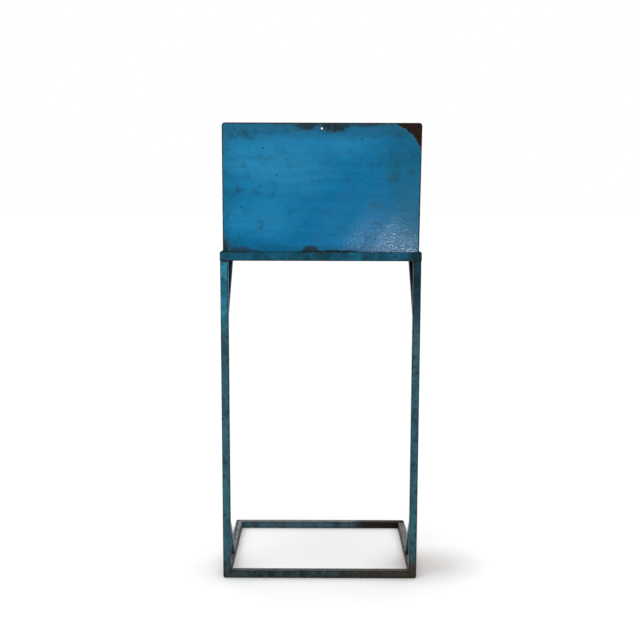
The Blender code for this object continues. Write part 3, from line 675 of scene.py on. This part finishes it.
def make_braces():
    """A parallelogram in Y and Z: bar cut at 45 degrees at both ends, carried across its width."""
    for place in ("upper", "lower"):
        for side in ("left", "right"):
            low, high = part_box(f"{place}_{side}_brace")
            slant = (high.x - low.x) * math.sqrt(2)
            if place == "upper":
                corners = [(low.y, low.z), (high.y, high.z), (high.y - slant, high.z), (low.y, low.z + slant)]
            else:
                corners = [(low.y, high.z - slant), (high.y - slant, low.z), (high.y, low.z), (low.y, high.z)]
            make_bar(f"{place}_{side}_brace", corners, [SAWN_EDGE] * 4, "x")


make_legs()
make_base()
make_braces()


# ------ cradle
# Four lengths of rolled steel angle, mitred into a tray on top of the legs. The upright leg of each
# faces out and its flat leg turns in under the box. Painted with the stand.

ANGLE_WALL = 0.003
ANGLE_HEEL = 0.0008
ANGLE_TOE = 0.0011
ANGLE_TIP = 0.0003
ANGLE_ROOT = 0.0028


def make_angle(name, start, end, leg):
    """An L with a filleted root, carried between two outer corners and cut at 45 degrees."""
    corners = [(0, 0), (leg, 0), (leg, ANGLE_WALL), (ANGLE_WALL, ANGLE_WALL), (ANGLE_WALL, leg), (0, leg)]
    radii = [ANGLE_HEEL, ANGLE_TIP, ANGLE_TOE, ANGLE_ROOT, ANGLE_TOE, ANGLE_TIP]
    section, distance = filleted(corners, radii, 0.0)
    start, run = np.array(start, float), np.array(end, float) - start
    length = np.linalg.norm(run)
    along = run / length
    inward = np.cross((0, 0, 1.0), along)
    depth, height = section[:, :1], section[:, 1:]
    trim = depth + MITRE_GAP
    profile = start + inward * depth + np.array([0, 0, 1.0]) * height
    shares = (0, 0.02, 0.5, 0.98, 1)
    points = np.stack([profile + along * (trim + (length - 2 * trim) * share) for share in shares])
    near = np.tile(1 - distance / ARRIS_REACH, (len(points), 1))
    make_piece(f"{name}_bar", points, capped_faces(*near.shape), stand_enamel, (name,), arris=near)


def make_cradle():
    """The four angles in turn round the tray."""
    low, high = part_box("cradle_rear_angle")
    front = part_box("cradle_front_angle")[1].y
    half, rear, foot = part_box("base_right_rail")[1].x, low.y, low.z
    tray = [(-half, rear, foot), (half, rear, foot), (half, front, foot), (-half, front, foot)]
    for side, start, end in zip(("rear", "right", "front", "left"), tray, [*tray[1:], tray[0]]):
        make_angle(f"cradle_{side}_angle", start, end, high.z - foot)


make_cradle()


# ------ welds
# A bead of weld metal at every joint of the stand and along each mitre of the cradle: overlapping
# puddles that freeze as ripples, painted over with the rest.

BEAD_RADIUS = 0.0026
BEAD_PITCH = 0.0021


def make_bead(name, start, end, radius=BEAD_RADIUS):
    """A tube along a line: its radius rises and falls once a pitch and closes at both ends."""
    start, end = np.array(start, float), np.array(end, float)
    length = np.linalg.norm(end - start)
    along = (end - start) / length
    side = np.cross(along, (0.31, 0.53, 0.79))
    side /= np.linalg.norm(side)
    other = np.cross(along, side)
    run = np.linspace(0, 1, max(16, int(length / BEAD_PITCH * 6)))[:, None]
    turn = np.linspace(0, 2 * math.pi, 14, endpoint=False)[None]
    ends = np.sqrt(np.clip(1 - np.abs(2 * run - 1) ** (length / radius), 0, 1))
    puddle = np.abs(np.sin(run * length / BEAD_PITCH * math.pi + 0.5 * np.sin(turn * 2)))
    wander = 0.10 * np.sin(run * length * 310 + turn * 2) + 0.07 * np.sin(run * length * 520 + turn * 3 + 1)
    size = radius * ends * (0.82 + 0.20 * puddle + wander)
    centre = start + along * (run * length)
    ring = np.cos(turn)[..., None] * side + np.sin(turn)[..., None] * other
    points = centre[:, None] + size[..., None] * ring
    faces = grid_faces(len(run), turn.shape[1], False, True)
    make_piece(name, points, faces, stand_enamel, arris=np.full(size.shape, 0.30), crease=80)


def make_welds():
    """Beads where legs meet base and cradle, at the braces' ends and along the mitres."""
    leg_low, leg_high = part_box("right_leg")
    cradle_low, cradle_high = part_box("cradle_rear_angle")
    rail_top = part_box("base_rear_bar")[1].z
    front_low, front_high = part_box("base_front_bar")
    cradle_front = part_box("cradle_front_angle")[1].y
    inset = 0.0012
    for side, word in ((-1, "left"), (1, "right")):
        outer, inner = side * (leg_high.x - inset), side * (leg_low.x - 0.0003)
        rear, back, top = leg_low.y + inset, leg_high.y, leg_high.z
        tip, sunk = (outer - side * 0.002, front_high.y - 0.003), rail_top - 0.0006
        upper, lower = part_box(f"upper_{word}_brace"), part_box(f"lower_{word}_brace")
        runs = {
            "leg_top_inner": ((inner, rear, top), (inner, back, top), 0.0022),
            "leg_foot_inner": ((inner, rear, inset), (inner, rear, rail_top), 0.0018),
            "leg_foot_top": ((inner, rear, rail_top), (inner, back, rail_top), 0.0024),
            "rail_foot": ((inner + side * 0.002, back, rail_top), (outer, back, rail_top), 0.0024),
            "rail_inner": ((inner, back, inset), (inner, back, rail_top), 0.0020),
            "upper_brace_foot": ((inner, back, upper[0].z), (outer, back, upper[0].z), 0.0022),
            "upper_brace_head": ((inner, upper[1].y, top), (outer, upper[1].y, top), 0.0022),
            "lower_brace_head": ((inner, back, lower[1].z), (outer, back, lower[1].z), 0.0022),
            "lower_brace_foot": ((inner, lower[1].y, rail_top), (outer, lower[1].y, rail_top), 0.0022),
            "far_mitre_top": ((inner, front_low.y, sunk), (*tip, sunk), 0.0014),
            "far_inner": ((inner, front_low.y, inset), (inner, front_low.y, rail_top), 0.0018),
        }
        for end, y, sense in (("rear", cradle_low.y, 1), ("front", cradle_front, -1)):
            corner = (side * (leg_high.x - 0.0002), y + sense * 0.0002)
            foot, head = cradle_low.z + 0.001, cradle_high.z - 0.001
            runs[f"tray_{end}_corner"] = ((*corner, foot), (*corner, head), 0.0011)
        for label, (start, end, radius) in runs.items():
            make_bead(f"weld_{word}_{label}", start, end, radius)


make_welds()


# ------ box
# Thin steel sheet: a floor and sides bent from one piece, a fixed strip behind the lid, and a front
# pan whose flanges tuck inside the sides. Brushed with the same blue enamel as the plate.

SHEET = 0.0012
SLOT_HALF = 0.150
SLOT_LOW, SLOT_HIGH = 0.950, 0.986
BEND = 0.0020


def paint_box():
    """Blue enamel over sheet: clouded and brushed, chipped along the edges."""
    made, place, arris = start_material("box_enamel")
    upward = upward_share(place)
    clouds = noise(place, 8.0, 6.0, 0.62, (1.0, 1.3, 1.5))
    colour = blend(ramp(clouds, 0.35, 0.66), (0.002, 0.098, 0.2), (0.009, 0.168, 0.32))
    runs = use_group(brush_runs, place, Along=7.0, Across=85.0)
    wide_runs = use_group(brush_runs, place, Along=3.0, Across=26.0)
    colour = shade(colour, (runs + wide_runs) * 0.20 + 0.80)
    stains = ramp(noise(place, 19.0, 7.0, 0.7, None, 0.6), 0.52, 0.7, 0.0, 0.7)
    colour = blend(stains, colour, (0.01, 0.058, 0.075))
    dust = ramp(upward, 0.5, 1.0) * ramp(noise(place, 30.0, 5.0, 0.6), 0.3, 0.8)
    colour = blend(dust * 0.22, colour, (0.2, 0.22, 0.21))
    fine_dots = use_group(pits, place, Spacing=150.0, Share=0.22)
    dots = larger(use_group(pits, place, Spacing=70.0, Share=0.35), fine_dots)
    colour = blend(dots * 0.75, colour, (0.01, 0.014, 0.014))
    worn = use_group(edge_wear, place, Arris=arris, Amount=0.4, Grain=110.0)
    scale = noise(place, 160.0, 6.0, 0.7)
    rust = blend(ramp(scale, 0.35, 0.7), (0.006, 0.003, 0.0022), (0.04, 0.015, 0.008))
    colour = blend(worn, colour, rust)
    peel = noise(place, 420.0, 3.0, 0.6)
    height = runs * 0.25 + peel
    height = height - larger(worn, dots) * 0.9
    rough = larger(worn, stains) * 0.35 + 0.26
    rough = dust * 0.25 + rough
    return finish_material(made, colour, rough, height, 0.00015, specular=0.30)


box_enamel = paint_box()


def ease_node(name, material, width):
    """A CAD node kept as it is: its flat faces are joined up and its edges eased, then finished."""
    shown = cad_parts[name]
    shown.data.materials.clear()
    shown.data.materials.append(material)
    weld = shown.modifiers.new("weld", "WELD")
    weld.merge_threshold = 0.00001
    flats = shown.modifiers.new("flats", "DECIMATE")
    flats.decimate_type = "DISSOLVE"
    flats.angle_limit = math.radians(0.5)
    ease = shown.modifiers.new("ease", "BEVEL")
    ease.width = width
    ease.segments = 2
    ease.limit_method = "ANGLE"
    ease.angle_limit = math.radians(40)


def both_sides(half):
    """A line of points that ends in the middle, X = 0, and its mirror image from there on."""
    return np.concatenate([half, half[-2::-1] * (-1, 1)])


def make_front_wall():
    """The pan's outer face: flange, bend, flat, bend, flange, carried up, less the slot's cells."""
    low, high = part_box("front_wall")
    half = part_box("box_shell")[1].x - SHEET - 0.0003
    turn = np.linspace(0, math.pi / 2, 5)
    right = np.concatenate([
        [[half, low.y], [half, high.y - BEND - ARRIS_REACH]],
        arc((half - BEND, high.y - BEND), BEND, turn),
    ])
    flat = np.concatenate([np.linspace(half - BEND - ARRIS_REACH, SLOT_HALF, 5), np.linspace(0.12, 0.0, 4)])
    right = np.concatenate([right, np.stack([flat, np.full(len(flat), high.y)], 1)])
    profile = both_sides(right)
    level = np.concatenate([
        [low.z, low.z + ARRIS_REACH], np.linspace(0.85, SLOT_LOW, 6),
        [SLOT_HIGH], np.linspace(1.0, high.z, 5),
    ])
    x, z = np.broadcast_arrays(profile[:, 0], level[:, None])
    dent = 0.00025 * np.sin(x * 29) * np.sin(z * 33 + 0.5) * (np.abs(profile[:, 0]) < 0.2)
    points = np.stack([x, profile[:, 1] + dent, z], -1)
    faces = grid_faces(len(level), len(profile))
    middle = points.reshape(-1, 3)[faces].mean(1)
    open_cells = (np.abs(middle[:, 0]) < SLOT_HALF) & (middle[:, 2] > SLOT_LOW) & (middle[:, 2] < SLOT_HIGH)
    bent = (np.abs(profile[:, 0]) > half - BEND - 0.0001) & (profile[:, 1] > high.y - BEND - 0.0001)
    ends = (level < low.z + 0.0001) | (level > high.z - 0.0001)
    arris = np.maximum(bent[None], ends[:, None]) * 1.0
    make_piece("front_pan", points, faces[~open_cells], box_enamel, ("front_wall",), "root", arris, SHEET)


make_front_wall()
ease_node("box_shell", box_enamel, 0.0004)
ease_node("header_strip", box_enamel, 0.0004)


# ------ lid
# One sheet with lips bent down over the sides and the front, hung on a long hinge at the back. It
# slopes to the front to shed rain.

LID_BEND = 0.0025
LID_CORNER = 0.0085
LID_LIP = 0.014
LID_CROWN = 0.0007
LID_UNDER_PIN = 0.0033
SLOPE = math.radians(10)


def make_lid():
    """Rows run from a spine over the flat, round the bend and down the lip; columns follow the rim."""
    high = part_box("lid")[1]
    pin = sum(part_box("hinge_pin"), Vector()) / 2
    back = pin.y + 0.0004
    turn = np.linspace(0, math.pi / 2, 7)
    corner = np.array([LID_CORNER - high.x, high.y - LID_CORNER])
    side = np.stack([np.full(22, -high.x), np.linspace(back, corner[1], 22)], 1)
    bent = arc(corner, LID_CORNER, math.pi - turn)
    front = np.stack([np.linspace(corner[0], 0, 16), np.full(16, high.y)], 1)
    rim = both_sides(np.concatenate([side, bent, front]))
    rounded = arc((0, 0), 1.0, math.pi - turn)
    outward = both_sides(np.concatenate([np.tile([-1.0, 0], (22, 1)), rounded, np.tile([0, 1.0], (16, 1))]))
    spine = np.stack([np.zeros(len(rim)), np.minimum(rim[:, 1], high.y - 0.09)], 1)
    edge = rim - (LID_BEND + ARRIS_REACH) * outward
    plan = [spine + (edge - spine) * share for share in (0.0, 0.2, 0.4, 0.6, 0.8, 1.0)]
    swing = np.linspace(0, math.pi / 2, 5)
    plan += [rim - outward * LID_BEND * (1 - math.sin(t)) for t in swing]
    plan += [rim, rim, rim]
    lip = [LID_BEND + ARRIS_REACH, LID_LIP - ARRIS_REACH * 0.8, LID_LIP]
    drop = np.concatenate([np.zeros(6), LID_BEND * (1 - np.cos(swing)), lip])
    plan = np.stack(plan)
    crown = np.sin((plan[..., 1] - back) / (high.y - back) * math.pi)
    crown = LID_CROWN * crown * np.cos(plan[..., 0] / high.x * math.pi / 2)
    top = pin.z - LID_UNDER_PIN / math.cos(SLOPE) - (plan[..., 1] - pin.y) * math.tan(SLOPE) + crown
    points = np.concatenate([plan, (top - drop[:, None])[..., None]], -1)
    near = np.array([0, 0, 0, 0, 0, 0, 0.8, 1, 1, 1, 0.9, 0, 0, 1.0])
    arris = np.repeat(near[:, None], len(rim), 1)
    make_piece("lid_sheet", points, grid_faces(*arris.shape), box_enamel, ("lid",), "lid", arris, SHEET)


make_lid()


# ------ hinge, knob and fasteners
# Bought hardware of plated steel gone dull: a butt hinge on a rolled pin, domed rivets, a turned
# knob, and four bolts with washers and nuts that hold the box down in the cradle.

RIVET_GRIPS = {
    "hinge_body_rivet": 0.0025, "hinge_lid_rivet": 0.0025, "slot_rivet": 0.0035, "label_rivet": 0.0037,
}
SLOPE_NORMAL = np.array([0, math.sin(SLOPE), math.cos(SLOPE)])
SCREW_RADIUS = 0.00235
SCREW_BORE = 0.0026
SCREW_FLAT = 0.0040      # half the width of a nut or a bolt's head
BOLT_HEAD = 0.0035


def paint_steel():
    """Dull grey plating, blotched, with brown rust in spots."""
    made, place, _ = start_material("old_plating")
    blotch = noise(place, 120.0, 5.0, 0.65)
    colour = blend(ramp(blotch, 0.35, 0.7), (0.15, 0.145, 0.135), (0.33, 0.325, 0.31))
    rust = ramp(noise(place, 85.0, 6.0, 0.72), 0.52, 0.66)
    grain = noise(place, 500.0, 4.0, 0.7)
    brown = blend(grain, (0.03, 0.012, 0.006), (0.13, 0.052, 0.022))
    colour = blend(rust * 0.85, colour, brown)
    rough = ramp(blotch * 0.5 + rust, 0.0, 1.4, 0.34, 0.82)
    metal = ramp(rust, 0.0, 1.0, 0.85, 0.05)
    height = rust * 0.5 + grain
    return finish_material(made, colour, rough, height, 0.00008, metal)


old_plating = paint_steel()


def make_turned(name, replaced, profile, place, axis, body="root", around=36, hexagon=None, ring=False,
                material=None):
    """A profile of radius and height turned about an axis, in place of a CAD node.

    A hexagon is a half width and a height: the radius is cut back to it, from 0 up to that height.
    A ring's profile closes on itself; another's starts and ends on the axis.
    """
    profile = np.asarray(profile, float)
    axis = np.array(axis, float) / np.linalg.norm(axis)
    side = np.cross(axis, (0, 1, 0) if abs(axis[0]) > 0.5 else (1, 0, 0))
    side /= np.linalg.norm(side)
    other = np.cross(axis, side)
    turn = np.linspace(0, 2 * math.pi, around, endpoint=False)
    radius, height = np.repeat(profile[:, :1], around, 1), profile[:, 1:]
    if hexagon:
        flat, head = hexagon
        corner = flat / np.cos((turn + math.pi / 6) % (math.pi / 3) - math.pi / 6)
        cut = (height >= 0) & (height <= head) & (radius > flat * 0.9)
        radius = np.where(cut, np.minimum(corner, radius), radius)
    spread = radius[..., None] * (np.cos(turn)[:, None] * side + np.sin(turn)[:, None] * other)
    points = np.array(place, float) + profile[:, None, 1:] * axis + spread
    faces = grid_faces(len(profile), around, ring, True)
    make_piece(name, points, faces, material or old_plating, (replaced,), body)


def thread(radius, crest, turns, start, end, steps):
    """Rows of a screw thread: the radius rises and falls by its crest once a turn."""
    share = np.linspace(0, 1, steps)
    return np.stack([radius + crest * np.sin(share * 2 * math.pi * turns), start + (end - start) * share], 1)


def through(corners, steps=5):
    """A smooth line through the corners: a cubic between each pair, level with its neighbours."""
    corners = np.asarray(corners, float)
    padded = np.concatenate([corners[:1], corners, corners[-1:]])
    a, b, c, d = (padded[k:len(padded) - 3 + k, None] for k in range(4))
    t = np.linspace(0, 1, steps, endpoint=False)[:, None]
    square, cube = 2 * a - 5 * b + 4 * c - d, 3 * b - a - 3 * c + d
    line = 0.5 * (2 * b + (c - a) * t + square * t ** 2 + cube * t ** 3)
    return np.concatenate([line.reshape(-1, 2), corners[-1:]])


def middle_of(name):
    """The middle of a CAD node's box."""
    low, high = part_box(name)
    return np.array((low + high) / 2)


def make_rivets():
    """A domed head, a shank through the sheets and a flattened tail, at each rivet's CAD place."""
    for kind, grip in RIVET_GRIPS.items():
        axis = SLOPE_NORMAL if kind.startswith("hinge") else np.array([0, 1.0, 0])
        for name in sorted(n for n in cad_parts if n.startswith(kind)):
            place = middle_of(name) - axis * (0.0007 - grip) / 2
            dome = np.linspace(math.pi / 2, 0, 8)
            head = np.stack([0.0030 * np.cos(dome), 0.0003 + 0.0016 * np.sin(dome)], 1)
            head[0, 0] = 0
            tail = [
                (0.0015, 0.0003), (0.0015, -grip - 0.0003), (0.0022, -grip - 0.0003),
                (0.0023, -grip - 0.0007), (0.0017, -grip - 0.0012), (0, -grip - 0.0012),
            ]
            body = "lid" if "lid" in kind else "root"
            make_turned(f"{name}_head", name, [*head, *tail], place, axis, body, 24)


def make_pins():
    """The hinge's pin and the flap's rod: wire with slightly domed ends."""
    for name in ("hinge_pin", "flap_rod"):
        low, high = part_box(name)
        radius, half = (high.z - low.z) / 2, (high.x - low.x) / 2
        dome = ((0, 0), (0.5, 0.0001), (0.9, 0.0003), (1.0, 0.0007))
        end = [(radius * share, half - drop) for share, drop in dome]
        profile = [*end, *[(r, -h) for r, h in end[::-1]]]
        make_turned(f"{name}_wire", name, profile, middle_of(name), (1, 0, 0), "root", 24)


def make_nut(name, foot, axis, flat, bore, height, body="root"):
    """A hexagon with chamfered corners and a threaded bore, as a closed ring of rows."""
    chamfer = [(flat, 0), (flat * 1.06, height * 0.06), (flat * 1.2, height * 0.16)]
    outside = [*chamfer, *[(radius, height - level) for radius, level in chamfer[::-1]]]
    inside = thread(bore, 0.00012, 5, height * 0.96, height * 0.04, 20)
    profile = [*outside, (bore + 0.0003, height), *inside, (bore + 0.0003, 0)]
    make_turned(f"{name}_hexagon", name, profile, foot, axis, body, hexagon=(flat, height), ring=True)


def make_knob():
    """A mushroom knob turned from bar, with a collar at its foot and a nut under the lid."""
    nut_foot = middle_of("knob_nut") + SLOPE_NORMAL * 0.0016
    body = through([
        (0.0, 0.0193), (0.0045, 0.0190), (0.0088, 0.0178), (0.0108, 0.0154), (0.0102, 0.0128),
        (0.0072, 0.0106), (0.0046, 0.0082), (0.0044, 0.0055), (0.0050, 0.0034),
    ])
    collar = [(0.0056, 0.0030), (0.0078, 0.0023), (0.0082, 0.0015), (0.0080, 0.0003), (0.0025, 0.0003)]
    profile = [*body, *collar, *thread(SCREW_RADIUS, 0.00015, 8, -0.0001, -0.0073, 32), (0.0, -0.0075)]
    foot = nut_foot + SLOPE_NORMAL * (0.0003 + SHEET)
    make_turned("knob_turning", "lid_knob", profile, foot, SLOPE_NORMAL, "lid", 48)
    make_nut("knob_nut", nut_foot, -SLOPE_NORMAL, SCREW_FLAT, SCREW_BORE, 0.0032, "lid")


def make_bolts():
    """A chamfered hexagon head on a threaded shank, with its washer above and its nut below."""
    flat, tall = SCREW_FLAT, BOLT_HEAD
    head = [(0, tall - 0.0001), (flat / 2, tall), (flat * 0.97, tall), (flat * 1.08, tall - 0.0004),
            (flat * 1.2, tall - 0.0008), (flat * 1.2, 0.0)]
    ring = [(0.0048, 0), (0.0050, 0.0002), (0.0050, 0.0008), (0.0048, 0.0010), (0.0028, 0.0010),
            (0.0027, 0.0008), (0.0027, 0.0)]
    for k in (1, 2, 3, 4):
        low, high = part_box(f"bolt_{k}")
        x, y, _ = middle_of(f"bolt_{k}")
        seat = high.z - tall
        tip = low.z - seat
        profile = [*head, *thread(SCREW_RADIUS, 0.00012, 14, 0.0, tip + 0.0004, 60), (0.0016, tip), (0, tip)]
        hexagon = (flat, tall + 0.0001)
        make_turned(f"bolt_{k}_turning", f"bolt_{k}", profile, (x, y, seat), (0, 0, 1), hexagon=hexagon)
        foot = (x, y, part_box(f"washer_{k}")[0].z)
        make_turned(f"washer_{k}_ring", f"washer_{k}", ring, foot, (0, 0, 1), "root", 32, ring=True)
        make_nut(f"nut_{k}", (x, y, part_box(f"nut_{k}")[1].z), (0, 0, -1), flat, SCREW_BORE, 0.0040)


make_rivets()
make_pins()
make_knob()
make_bolts()
ease_node("hinge_body_leaf", old_plating, 0.00015)
ease_node("hinge_lid_leaf", old_plating, 0.00015)
ease_node("lid_catch", old_plating, 0.0002)


# ------ lock
# A cam lock: a brass barrel clamped in the front by a thin nut, a brass plug with a keyway, and a
# steel cam on the plug's tail that turns under the lid's catch.

BARREL_FLANGE = 0.0120
BARREL_BODY = 0.0093
BARREL_BORE = 0.00565
BARREL_LIP = 0.0014
CAM_SCREW_HEAD = 0.0019


def paint_brass():
    """Yellow brass gone brown in clouds, green in spots, with fine turning marks."""
    made, place, _ = start_material("old_brass")
    clouds = noise(place, 160.0, 5.0, 0.6)
    colour = blend(ramp(clouds, 0.35, 0.68), (0.17, 0.105, 0.035), (0.52, 0.36, 0.13))
    green = ramp(noise(place, 230.0, 5.0, 0.7), 0.58, 0.7, 0.0, 0.5)
    colour = blend(green, colour, (0.045, 0.085, 0.05))
    height = noise(place, 1.0, 3.0, 0.6, (600.0, 600.0, 3000.0))
    rough = ramp(clouds, 0.3, 0.7, 0.52, 0.3)
    metal = ramp(green, 0.0, 0.5, 0.95, 0.35)
    return finish_material(made, colour, rough, height, 0.00004, metal)


old_brass = paint_brass()


def make_lock():
    """The barrel is a ring: a rounded flange outside, a threaded body through the front."""
    x, _, z = middle_of("lock_barrel")
    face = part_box("front_wall")[1].y
    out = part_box("lock_barrel")[1].y - face
    turn = np.linspace(0, math.pi / 2, 6)
    lip = arc((BARREL_FLANGE - BARREL_LIP, out - BARREL_LIP), BARREL_LIP, turn)
    body = thread(BARREL_BODY - 0.00012, 0.00012, 26, 0.0003, -0.0219, 140)
    bore = [(BARREL_BORE + 0.0004, out), (BARREL_BORE, out - 0.0005), (BARREL_BORE, -0.0220)]
    profile = [(BARREL_FLANGE, 0.0003), *lip, *bore, *body[::-1]]
    foot, axis = (x, face, z), (0, 1, 0)
    make_turned("lock_barrel_turning", "lock_barrel", profile, foot, axis, "root", 48, None, True, old_brass)
    make_nut("lock_nut", (x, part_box("lock_nut")[1].y, z), (0, -1, 0), 0.0120, BARREL_BODY + 0.0003, 0.0040)
    low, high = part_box("cam_screw")
    head = [(0, 0.0), (0.0036, 0.0001), (0.0048, 0.0005), (0.0052, 0.0010), (0.0052, CAM_SCREW_HEAD)]
    long = high.y - low.y
    shank = [(0.0015, CAM_SCREW_HEAD), (0.0015, long - 0.0004), (0.0008, long), (0, long)]
    make_turned("cam_screw_turning", "cam_screw", [*head, *shank], (x, low.y, z), axis, "lock", 32)


make_lock()
ease_node("lock_plug", old_brass, 0.0002)
ease_node("lock_cam", old_plating, 0.0003)


# ------ letter slot
# A riveted frame round the slot with two ears. The flap hangs from a rod between them: a strip of
# sheet rolled round the rod at its top, with a finger lip turned out along its foot.

FLAP_EYE = 0.0023
FLAP_WALL = 0.0010
FLAP_DROP = 0.051
FLAP_HALF = 0.1565
LIP_BEND = 0.003


def make_flap():
    """The flap's outer face in Y and Z, rolled eye, straight drop and finger lip, carried along X."""
    rod = middle_of("flap_rod")
    turn = np.radians(np.linspace(-120, 180, 26))
    eye = arc(rod[1:], FLAP_EYE, turn)
    back = rod[1] - FLAP_EYE
    foot = rod[2] - FLAP_DROP + 0.004
    drop = np.stack([np.full(7, back), np.linspace(rod[2] - 0.004, foot, 7)], 1)
    swing = np.radians(np.linspace(0, 68, 6))
    lip = arc((back + LIP_BEND, foot), LIP_BEND, math.pi + swing)
    way = np.array([math.sin(swing[-1]), -math.cos(swing[-1])])
    profile = np.concatenate([eye, drop, lip[1:], [lip[-1] + way * 0.0045]])
    end = [FLAP_HALF - ARRIS_REACH, FLAP_HALF]
    across = np.concatenate([np.negative(end[::-1]), np.linspace(-0.13, 0.13, 12), end])
    x, y = np.broadcast_arrays(across[:, None], profile[:, 0])
    z = np.broadcast_to(profile[:, 1], x.shape)
    near = np.zeros(len(profile))
    near[-4:] = (0.4, 0.8, 0.9, 1.0)
    ends = np.abs(across) > FLAP_HALF - 0.0001
    arris = np.maximum(near[None], ends[:, None] * 1.0)
    points = np.stack([x, y, z], -1)
    faces = grid_faces(*x.shape)
    make_piece("flap_sheet", points, faces, box_enamel, ("slot_flap",), "flap", arris, FLAP_WALL, 50)


make_flap()
ease_node("slot_frame", box_enamel, 0.0005)


# ------ label
# A pressed steel holder riveted below the slot, with a blank card, yellowed and a little bowed,
# pushed in behind its rim.

CARD_WALL = 0.0004


def paint_card():
    """Old card: warm, cloudy, foxed in spots, with short fibres."""
    made, place, _ = start_material("old_card")
    clouds = noise(place, 60.0, 5.0, 0.6)
    colour = blend(ramp(clouds, 0.3, 0.7), (0.5, 0.41, 0.26), (0.72, 0.65, 0.5))
    fox = ramp(noise(place, 190.0, 5.0, 0.7), 0.6, 0.7, 0.0, 0.6)
    colour = blend(fox, colour, (0.3, 0.17, 0.08))
    fibre = noise(place, 1.0, 4.0, 0.7, (900.0, 900.0, 3500.0))
    return finish_material(made, colour, ramp(fibre, 0.20, 0.80, 0.80, 0.95), fibre, 0.00005)


def make_card():
    """A grid bowed slightly outward at its middle, with the card's own thickness."""
    low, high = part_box("label_card")
    x = np.linspace(high.x, low.x, 25)[None] * np.ones((9, 1))
    z = np.linspace(low.z, high.z, 9)[:, None] * np.ones((1, 25))
    bow = np.cos((z - (low.z + high.z) / 2) / (high.z - low.z) * math.pi)
    bow = 0.0002 * bow * np.cos(x / high.x * math.pi / 2)
    points = np.stack([x, high.y - 0.0001 + bow, z], -1)
    make_piece("card_blank", points, grid_faces(9, 25), paint_card(), ("label_card",), wall=CARD_WALL)


make_card()
ease_node("label_frame", old_plating, 0.0006)
